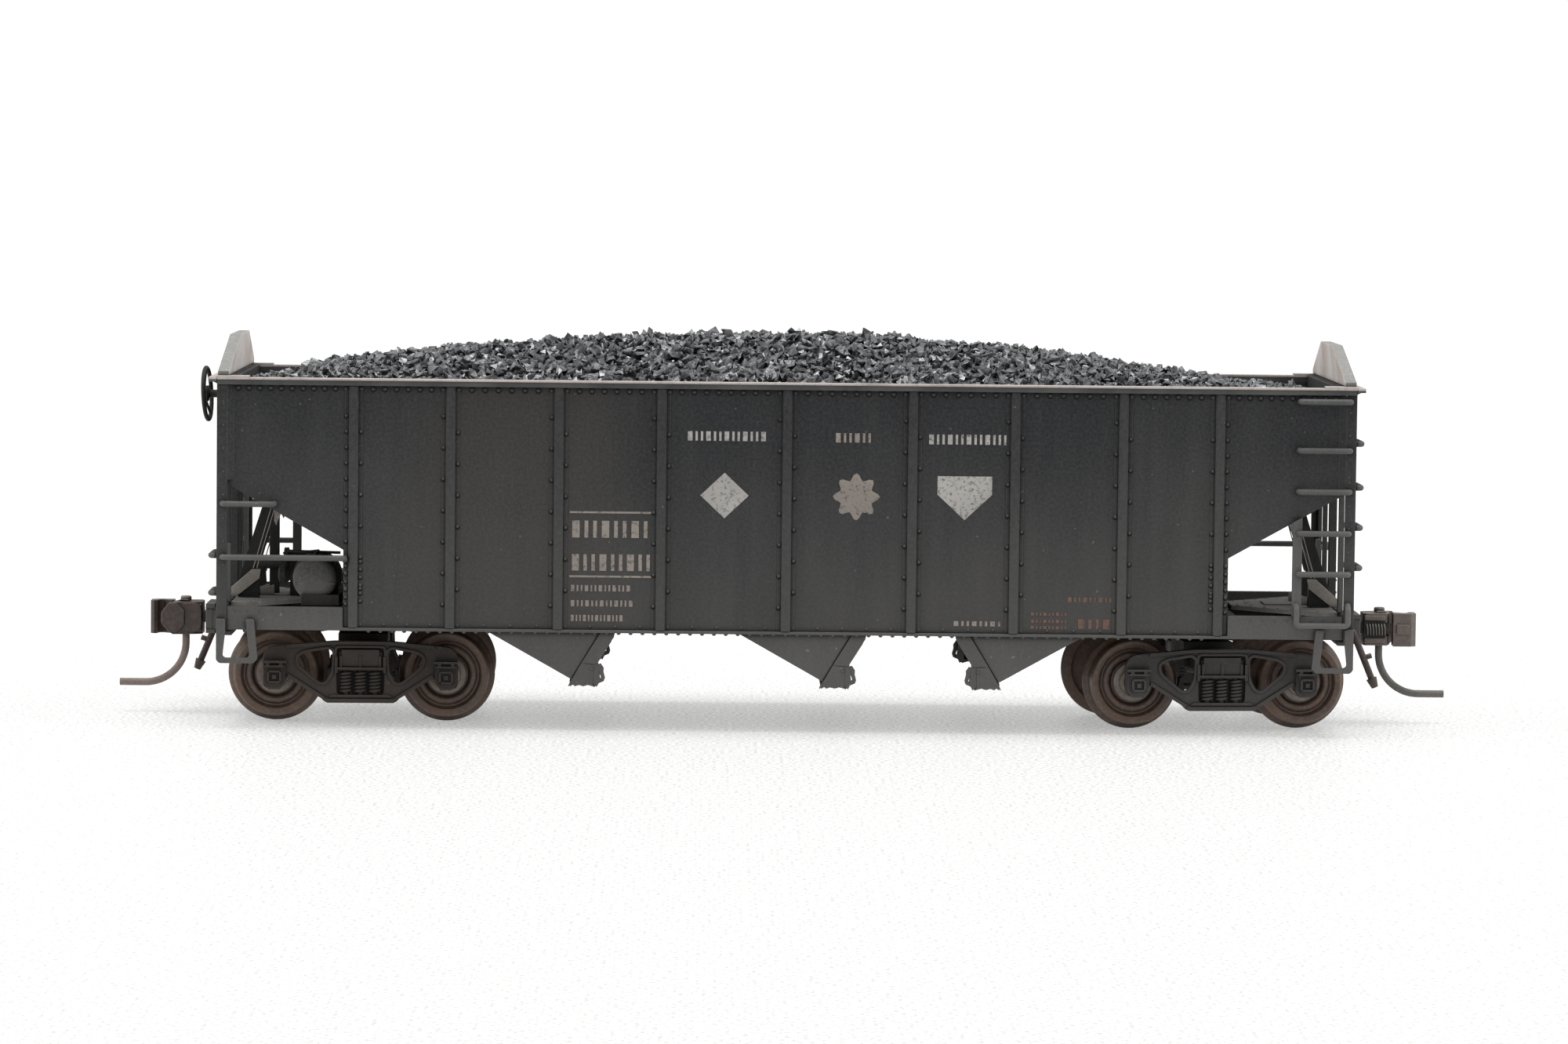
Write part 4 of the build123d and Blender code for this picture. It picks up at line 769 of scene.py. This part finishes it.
def end_matrix(end):
    """Turns what is drawn at end A round to the other end, for end B."""
    return Matrix.Rotation(0 if end == "a" else math.pi, 4, "Z")


def truck_matrix(end):
    """From the middle of a truck, at the height of the rails, to its place under the car."""
    centre = truck_x if end == "a" else -truck_x
    return Matrix.Translation((centre, 0, 0)) @ Matrix.Rotation(math.radians(yaw[end]), 4, "Z")


def both_wheels(profile, end, offset, segments):
    """The two wheels of one axle, or their rings, turned from one profile."""
    pair = Shape()
    axle = truck_matrix(end) @ Matrix.Translation((offset, 0, axle_z))
    for side in (-1, 1):
        pair.lathe(profile, axle @ Matrix.Diagonal((1, side, 1, 1)), segments)
    return pair


for end in "ab":
    for where, along in (("outer", axle_offset), ("inner", -axle_offset)):
        offset = along if end == "a" else -along
        body = f"wheelset_{end}_{where}"
        both_wheels(tread, end, offset, 96).make(
            f"wheels_{end}_{where}_turned",
            wheel_brown,
            body,
            "wheel_rust",
            smooth=32,
            stands_for=[f"wheels_{end}_{where}"],
        )
        rings = both_wheels(hub_ring, end, offset, 64)
        rings.make(f"wheel_hubs_{end}_{where}", hub_bright, body, "axle_steel", smooth=32)

# Outlines of a side frame, seen from outside the car with its middle at x = 0.
side_half = [
    (0, 2.45), (3.9, 2.45), (5.2, 3.8), (8.2, 5.5), (8.5, 4.5), (8.9, 4.1), (10.7, 4.1), (10.95, 4.5),
    (10.95, 7.9), (10.3, 8.75), (8.0, 9.05), (3.0, 9.45),
]
corner_window = [
    (2.95, 8.35), (3.5, 8.75), (6.3, 8.3), (7.2, 7.75), (7.1, 6.7), (4.6, 4.6), (3.8, 4.7), (3.05, 6.0),
]
spring_window = [(-2.6, 3.4), (2.6, 3.4), (2.75, 8.75), (-2.75, 8.75)]
ledge = [
    (-8.4, 8.62), (-3.1, 9.08), (3.1, 9.08), (8.4, 8.62), (8.2, 8.98), (3.0, 9.4), (-3.0, 9.4), (-8.2, 8.98),
]
lower_rib = [(3.3, 2.55), (4.0, 2.75), (8.2, 5.35), (8.1, 5.75), (3.9, 3.1), (3.2, 2.9)]
box_outline = [(-1.2, 7.2), (-1.2, 4.75), (-0.65, 4.0), (0.65, 4.0), (1.2, 4.75), (1.2, 7.2)]
lid_outline = [(-0.98, 6.6), (-0.98, 4.95), (-0.5, 4.4), (0.5, 4.4), (0.98, 4.95), (0.98, 6.6)]
lid_ridges = [
    (-0.78, 5.95, 0.78, 6.15), (-0.78, 4.75, 0.78, 4.95), (-0.78, 4.75, -0.58, 6.15),
    (0.58, 4.75, 0.78, 6.15), (-0.22, 5.2, 0.22, 5.65),
]
shoe = [(3.75, 3.4), (4.15, 3.5), (4.35, 4.6), (4.15, 5.9), (3.75, 6.0)]
side_outline = rounded([*side_half, (0, 9.5), *[(-x, z) for x, z in side_half[:0:-1]]], 0.45)
windows = [
    rounded(corner_window, 0.6),
    rounded([(-x, z) for x, z in corner_window][::-1], 0.6),
    rounded(spring_window, 0.45),
]
recess = rounded([(-2.8, 6.3), (2.8, 6.3), (2.8, 8.85), (-2.8, 8.85)], 0.5)
plate_y = (-12.85, -11.95)


def journal_box(frames, place):
    """A bearing box with its lid, its hood and two hinge lugs."""
    frames.prism(box_outline, -13.35, -11.35, place)
    frames.prism(rounded(lid_outline, 0.2, 3), -13.52, -13.3, place)
    for x0, z0, x1, z1 in lid_ridges:
        frames.block((x0, -13.85, z0), (x1, -13.5, z1), place)
    frames.block((-1.35, -13.95, 7.02), (1.35, -13.1, 7.25), place)
    frames.block((-1.15, -13.9, 6.55), (1.15, -13.3, 6.72), place)
    for lug in (-0.75, 0.75):
        frames.block((lug - 0.2, -13.85, 6.7), (lug + 0.2, -13.3, 7.1), place)


def side_frame(frames, coils, place):
    """One side frame and its three springs; outwards is -Y."""
    frames.add(*pierced_plate(side_outline, windows, *plate_y, 0.14, place))
    for window in windows[:2]:
        frames.tube([place @ Vector((x, -12.88, z)) for x, z in window], 0.2, 8, closed=True)
    frames.tube([place @ Vector((x, -12.88, z)) for x, z in recess], 0.19, 8, closed=True)
    frames.block((-2.9, -12.15, 2.9), (2.9, -11.95, 9.2), place)
    frames.prism(ledge, -13.08, -12.8, place)
    for x in (-1, 1):
        frames.prism([(x * px, pz) for px, pz in lower_rib], -13.08, -12.8, place)
    frames.prism([(-3.75, 2.5), (3.75, 2.5), (4.1, 2.95), (-4.1, 2.95)], -13.2, -12.8, place)
    frames.prism([(-3.6, 3.12), (3.6, 3.12), (3.2, 3.4), (-3.2, 3.4)], -13.05, -12.8, place)
    frames.block((-2.85, -13.3, 6.28), (2.85, -12.1, 6.52), place)
    frames.block((-2.4, -12.7, 6.5), (2.4, -12.1, 8.2), place)
    for x in (-2.2, 0.0, 2.2):
        frames.block((x - 0.13, -13.1, 6.5), (x + 0.13, -12.6, 7.75), place)
    for x in (-2.72, 2.72):
        frames.block((x - 0.16, -13.2, 5.9), (x + 0.16, -12.8, 7.7), place)
    for box_x in (-axle_offset, axle_offset):
        journal_box(frames, place @ Matrix.Translation((box_x, 0, 0)))
    for x in (-1.62, 0.0, 1.62):
        coils.coil(place @ Matrix.Translation((x, -12.55, 3.42)), 0.56, 0.17, 2.86, 6.5)
        coils.tube([place @ Vector((x, -12.5, z)) for z in (3.3, 6.3)], 0.36, 10)


def brake_beams(base):
    """Two beams with a bent truss rod and two brake shoes each."""
    beams = Shape()
    for x in (-1, 1):
        beams.tube([base @ Vector((x * 3.9, y, 4.4)) for y in (-9.2, 9.2)], 0.32, 10)
        bent = [(x * 3.9, -6.0, 4.4), (x * 3.1, 0, 4.6), (x * 3.9, 6.0, 4.4)]
        beams.tube([base @ Vector(point) for point in bent], 0.22, 8)
        for y in (-8.6, 8.6):
            beams.prism([(x * px, z) for px, z in shoe], y - 0.7, y + 0.7, base)
    return beams


for end in "ab":
    paint = truck_paint_of[end]
    body = f"truck_{end}"
    frames, coils = Shape(), Shape()
    for side in (-1, 1):
        side_frame(frames, coils, truck_matrix(end) @ Matrix.Diagonal((1, -side, 1, 1)))
    frames.make(
        f"side_frames_{end}_cast", paint, body, "truck_paint", bevel=0.05, stands_for=[f"side_frames_{end}"]
    )
    coils.make(
        f"truck_springs_{end}_coiled",
        paint,
        body,
        "spring_steel",
        smooth=60,
        stands_for=[f"truck_springs_{end}"],
    )
    beams = brake_beams(truck_matrix(end))
    beams.make(f"brake_beams_{end}", paint, body, "truck_paint", bevel=0.04)

# ------------------------------------------------------------------ couplers

barrel = rounded([(66.46, 9.35), (69.8, 9.35), (69.8, 12.7), (66.46, 12.7)], 1.0, 6)
guard = [
    (68.4, 10.2), (69.3, 9.3), (70.2, 9.3), (71.1, 10.4), (71.1, 11.6), (70.2, 12.75), (69.3, 12.75),
    (68.4, 11.9),
]
striker_lug = rounded([(65.8, 9.9), (65.92, 12.0), (65.2, 12.25), (65.2, 9.65)], 0.2, 3)
striker_face_x = 65.92
casting_back_x = 66.46


def knuckle_coil(about):
    """The small spring in the side of the coupler head."""
    spring = Shape()
    place = about @ Matrix.Translation((66.5, -2.15, 10.95)) @ Matrix.Rotation(math.pi / 2, 4, "Y")
    spring.coil(place, 0.66, 0.09, 2.5, 7, 6, 12)
    return spring


def striker(about):
    """The frame on the end sill that the coupler passes through."""
    trim = Shape()
    for y in (-3.15, 2.75):
        trim.prism(striker_lug, y, y + 0.4, about)
    trim.block((64.9, -3.3, 12.2), (striker_face_x, 3.3, 12.7), about)
    trim.block((64.9, -3.3, 9.35), (striker_face_x, 3.3, 9.75), about)
    for y in (-2.0, 2.0):
        trim.rivet(about @ Vector((striker_face_x, y, 12.45)), about @ Vector((1, 0, 0)), 0.16, 0.1)
    return trim


def coupler_casting(about):
    """The rounded back of the head, its guard arm side and the cheeks round the spring."""
    cast = Shape()
    cast.prism(barrel, 1.6, 2.22, about)
    cast.prism(guard, 2.1, 2.55, about)
    cast.prism([(67.9, 12.7), (69.3, 12.7), (69.1, 12.98), (68.1, 12.98)], -0.8, 0.8, about)
    for z in (9.35, 11.95):
        cast.block((casting_back_x, -1.95, z), (67.3, 1.95, z + 0.62), about)
        cast.block((66.5, -2.3, z), (68.95, -1.7, z + 0.62), about)
    return cast


for end in "ab":
    about = end_matrix(end)
    body = f"coupler_{end}"
    knuckle_coil(about).make(
        f"knuckle_spring_{end}_coiled",
        pin_of[end],
        body,
        "spring_steel",
        smooth=60,
        stands_for=[f"knuckle_spring_{end}"],
    )
    # A dark block behind the knuckle spring: painted shade in its pocket.
    pocket = Shape()
    pocket.block((casting_back_x, -2.16, 10.0), (68.95, -1.9, 11.92), about)
    pocket.make(f"spring_pocket_{end}", dark_gear, body, "coupler_rust", bevel=0.05)
    striker(about).make(f"striker_{end}", sill_black, "carbody", "gear_paint", bevel=0.08)
    coupler_casting(about).make(f"coupler_casting_{end}", cast_of[end], body, "coupler_rust", bevel=0.2)
    nose = Shape()
    nose.block((70.2, -2.35, 10.35), (71.7, -1.9, 11.55), about)
    nose.make(f"knuckle_boss_{end}", cast_of[end], f"knuckle_{end}", "coupler_rust", bevel=0.12)

# ------------------------------------------------------------------ brake wheel


def circle(steps):
    """The angles of evenly spaced points round a circle."""
    return np.linspace(0, 2 * math.pi, steps + 1)[:-1]


wheel = Shape()
hub = Vector((-66.55, 5.0, 36.3))
rim_radius = 2.98
spoke_reach = 2.95
spokes = 5
spin = Matrix.Translation(hub) @ Matrix.Rotation(math.pi / 2, 4, "Z")
# It hangs a little out of true, as in the photograph.
lean = Matrix.Rotation(math.radians(-4), 3, "Z") @ Matrix.Rotation(math.radians(-3), 3, "Y")
rim_line = []
for a in circle(48):
    rim_line.append(hub + lean @ Vector((0, rim_radius * math.cos(a), rim_radius * math.sin(a))))
wheel.tube(rim_line, 0.25, 10, closed=True)
for k in range(spokes):
    a = 2 * math.pi * k / spokes + 0.3
    spoke = []
    for r in (0.6, 1.2, 1.9, 2.5, spoke_reach):
        dish = -0.35 * math.cos(r / spoke_reach * math.pi / 2)
        spoke.append(hub + lean @ Vector((dish, r * math.cos(a), r * math.sin(a))))
    wheel.tube(spoke, 0.17, 8)
wheel.lathe([(-0.2, 0.5), (-0.2, 0.8), (0.0, 0.95), (0.35, 0.85), (0.45, 0.6), (0.45, 0.5)], spin, 32)
wheel.make("brake_wheel_spoked", dark_gear, "brake_wheel", "gear_paint", stands_for=["brake_wheel"])

# ------------------------------------------------------------------ outlet straps and locks

# Outlines as (distance from the outlet's tip towards the door, height).
locks, seam_shadows = Shape(), Shape()
strap = [(3.25, 11.03), (4.86, 11.03), (4.75, 10.55), (3.89, 9.22), (3.19, 8.06), (2.9, 7.6), (1.15, 7.62)]
latch = [
    (1.15, 7.62), (2.45, 7.4), (2.4, 5.3), (2.63, 4.95), (2.08, 5.12), (1.53, 5.2), (1.42, 5.0),
    (0.87, 5.15), (0.43, 5.0), (0.21, 5.19), (-0.11, 4.96), (0.2, 5.95),
]
loop = [
    (2.2, 6.7), (2.6, 7.35), (3.31, 7.55), (3.64, 7.07), (3.62, 6.63), (3.79, 5.97), (3.66, 5.6),
    (3.17, 5.4), (2.63, 4.95), (2.2, 5.5),
]
eye = [(2.83, 6.84), (3.04, 6.84), (3.35, 6.02), (3.27, 5.88), (2.82, 5.81), (2.76, 6.02)]
seam_shade_outline = [(3.1, 11.03), (3.25, 11.03), (0.2, 5.95), (0.05, 5.95)]


def beside(tip_x, out, points):
    """Points beside one outlet, on the door's side of its tip."""
    return [(tip_x + out * dx, z) for dx, z in points]


def depth(side, inner, outer):
    """The lower and the higher y of a layer on one side of the car."""
    return sorted((side * inner, side * outer))


for tip_x, out in ((-23.9, 1), (4.2, 1), (23.9, -1)):
    for side in (-1, 1):
        locks.prism(beside(tip_x, out, strap), *depth(side, 15.9, 17.33))
        locks.prism(beside(tip_x, out, latch), *depth(side, 15.9, 17.3))
        ring, hole = beside(tip_x, out, loop), beside(tip_x, out, eye)
        locks.add(*pierced_plate(ring, [hole], *depth(side, 16.5, 17.2), 0.05, Matrix.Identity(4)))
        locks.rivet((tip_x + out * 2.3, side * 17.3, 7.0), (0, side, 0), 0.2, 0.14)
        # A thin near-black strip along the gap beside each strap: painted shade in the gap.
        seam_shadows.prism(beside(tip_x, out, seam_shade_outline), *depth(side, 17.0, 17.28))
locks.make(
    "door_straps_and_locks", sill_black, "carbody", "gear_paint", bevel=0.05, stands_for=["door_locks"]
)
seam_shadows.make("outlet_seam_shadows", painted_shadow, "carbody", "gear_paint")

# ------------------------------------------------------------------ end platforms

deck_z = 13.65
fittings, gussets = Shape(), Shape()
gusset = [
    (59.5, 16.9), (60.5, 16.9), (61.4, 16.1), (63.1, 14.6), (63.1, 13.75), (62.3, 13.75), (59.65, 15.85),
]
wedge = [(57.2, 23.3), (57.95, 23.6), (58.0, 22.4), (57.75, 21.9), (57.55, 22.5)]
stiffener = [(58.2, 14.9), (61.9, 13.75), (58.2, 13.75)]
for end in "ab":
    about = end_matrix(end)
    for side in (-1, 1):
        for k in range(7):
            share = k / 6
            point = Vector((51.9 + 8.4 * share, side * (2.9 + 8.0 * share), deck_z))
            fittings.rivet(about @ point, (0, 0, 1), 0.16, 0.12)
        for x in (53.0, 55.0, 57.0, 59.0, 61.0):
            fittings.rivet(about @ Vector((x, side * 0.7, deck_z)), (0, 0, 1), 0.15, 0.1)
        fittings.prism(stiffener, side * 2.2 - 0.12, side * 2.2 + 0.12, about)
    fittings.block((55.0, -2.3, 13.64), (62.2, 2.3, 13.78), about)
    for side in (-1, 1):
        y = side * 5.65
        gussets.prism(gusset, y - 0.12, y + 0.12, about)
        gussets.prism(wedge, y - 0.12, y + 0.12, about)
        # Two thin pale rods along each brace edge: painted highlights where the edges catch the light.
        for shift in (0.1, 0.5):
            edge = [about @ Vector((x + shift, y * 0.985, z)) for x, z in ((57.75, 24.2), (59.85, 17.0))]
            gussets.tube(edge, 0.07, 6)
fittings.make("platform_fittings", deck_paint, "carbody", "deck_paint", bevel=0.03)
gussets.make("brace_gussets", pale_dust_and_highlight, "carbody", "deck_paint", bevel=0.03)

# ------------------------------------------------------------------ brake gear at end B

tank_x, tank_z = -52.8, 16.5
strap_radius = 2.5
brake_trim = Shape()
for y in (-12.6, -6.4):
    ring_line = []
    for a in circle(40):
        ring_line.append((tank_x + strap_radius * math.cos(a), y, tank_z + strap_radius * math.sin(a)))
    brake_trim.tube(ring_line, 0.13, 6, closed=True)
bulb = [(0.0, 0.0), (0.0, 0.45), (0.5, 0.55), (1.1, 1.05), (1.7, 1.0), (1.9, 0.55), (1.9, 0.0)]
bulb_place = Matrix.Translation((-55.3, -9.6, 16.6)) @ Matrix.Rotation(math.pi / 2, 4, "Z")
brake_trim.lathe(bulb, bulb_place, 24)
brake_trim.tube([(-56.2, -9.6, 19.3), (-50.2, -9.6, 19.15)], 0.17, 8)
brake_trim.block((-54.2, -15.4, 13.68), (-50.0, -2.6, 14.8))
pipe = [(tank_x, -14.4, 18.7), (tank_x, -14.4, 19.25), (tank_x, -8.0, 19.25), (-54.6, -6.0, 18.9)]
brake_trim.tube(pipe, 0.16, 8)
brake_trim.block((-53.5, -12.6, 18.75), (-52.1, -11.4, 19.2))
bolts, bolt_circle = 6, 1.5
for k in range(bolts):
    a = 2 * math.pi * k / bolts
    centre = (-57.1, -1.4 + bolt_circle * math.cos(a), 17.2 + bolt_circle * math.sin(a))
    brake_trim.rivet(centre, (-1, 0, 0), 0.17, 0.16)
brake_trim.make("brake_trim", dark_gear, "carbody", "gear_paint", bevel=0.03)

tank = Shape()
tank_line = [
    (-4.4, 0.0), (-4.4, 1.2), (-4.7, 1.9), (-5.2, 2.4), (-8.6, 2.45), (-8.65, 2.75), (-9.25, 2.75),
    (-9.3, 2.45), (-13.7, 2.47), (-14.2, 2.4), (-14.5, 2.22), (-14.72, 1.85), (-14.85, 1.2), (-14.9, 0.0),
]
tank.lathe(tank_line, Matrix.Translation((tank_x, 0, tank_z)), 64)
tank.block((-55.05, -14.78, 15.98), (-50.55, -14.3, 16.06))
tank.make(
    "air_reservoir_turned", tank_paint, "carbody", "gear_paint", smooth=40, stands_for=["air_reservoir"]
)

# ------------------------------------------------------------------ studio

floor_mesh = bpy.data.meshes.new("floor")
reach = 9.0
corners = [(-reach, -reach, 0), (reach, -reach, 0), (reach, reach, 0), (-reach, reach, 0)]
floor_mesh.from_pydata(corners, [], [(0, 1, 2, 3)])
floor = bpy.data.objects.new("floor", floor_mesh)
bpy.context.scene.collection.objects.link(floor)
f = Finish("studio_floor")
speck = f.noise(0.45, 2)
pale_floor = f.mix(f.span(speck, 0.35, 0.65), (0.30, 0.30, 0.297), (0.50, 0.50, 0.495))
floor_mesh.materials.append(f.done(pale_floor, 0.5, speck, 0.03, 0.3, grime_and_shade=0))
glow = f.mix(f.span(speck, 0.35, 0.65), (0.82, 0.82, 0.815), (1.16, 1.16, 1.155))
f.put(f.bsdf.inputs["Emission Color"], glow)
f.bsdf.inputs["Emission Strength"].default_value = 0.40

world = bpy.data.worlds.new("studio")
bpy.context.scene.world = world
world.use_nodes = True
sky = world.node_tree.nodes["Background"]
sky.inputs["Color"].default_value = (1, 1, 1, 1)
seen = world.node_tree.nodes.new("ShaderNodeLightPath")
level = world.node_tree.nodes.new("ShaderNodeMapRange")
level.inputs["To Min"].default_value = 0.76
level.inputs["To Max"].default_value = 1.05
world.node_tree.links.new(seen.outputs["Is Camera Ray"], level.inputs["Value"])
world.node_tree.links.new(level.outputs[0], sky.inputs["Strength"])

for name, toward, strength, spread in (
    ("top_light", (0.0, -0.03, 1.0), 2.2, 34),
    ("left_light", (-1.0, -0.10, 0.5), 0.8, 35),
    ("right_light", (1.0, -0.10, 0.5), 0.85, 35),
):
    lamp = bpy.data.lights.new(name, "SUN")
    lamp.energy = strength
    lamp.angle = math.radians(spread)
    holder = bpy.data.objects.new(name, lamp)
    holder.rotation_euler = Vector(toward).to_track_quat("Z", "Y").to_euler()
    bpy.context.scene.collection.objects.link(holder)

# The camera's place in millimetres, and its turns in radians, as in the photograph.
camera_place = Vector((-8.80, -657.84, 67.27))
yaw_angle, pitch_angle, roll_angle = 0.0133, 0.0680, 0.0108
forward = Vector((
    math.sin(yaw_angle) * math.cos(pitch_angle),
    math.cos(yaw_angle) * math.cos(pitch_angle),
    -math.sin(pitch_angle),
))
level_right = forward.cross(Vector((0, 0, 1))).normalized()
level_up = level_right.cross(forward)
right = level_right * math.cos(roll_angle) + level_up * math.sin(roll_angle)
upward = -level_right * math.sin(roll_angle) + level_up * math.cos(roll_angle)
camera_data = bpy.data.cameras.new("camera")
camera_data.sensor_width = 36
camera_data.lens = 132.08
camera_data.clip_start = 0.05
camera_data.clip_end = 60
camera = bpy.data.objects.new("camera", camera_data)
axes = Matrix((right, upward, -forward)).transposed().to_4x4()
camera.matrix_world = Matrix.Translation(camera_place * MM) @ axes
bpy.context.scene.collection.objects.link(camera)
bpy.context.scene.camera = camera
bpy.context.scene.view_settings.view_transform = "Standard"
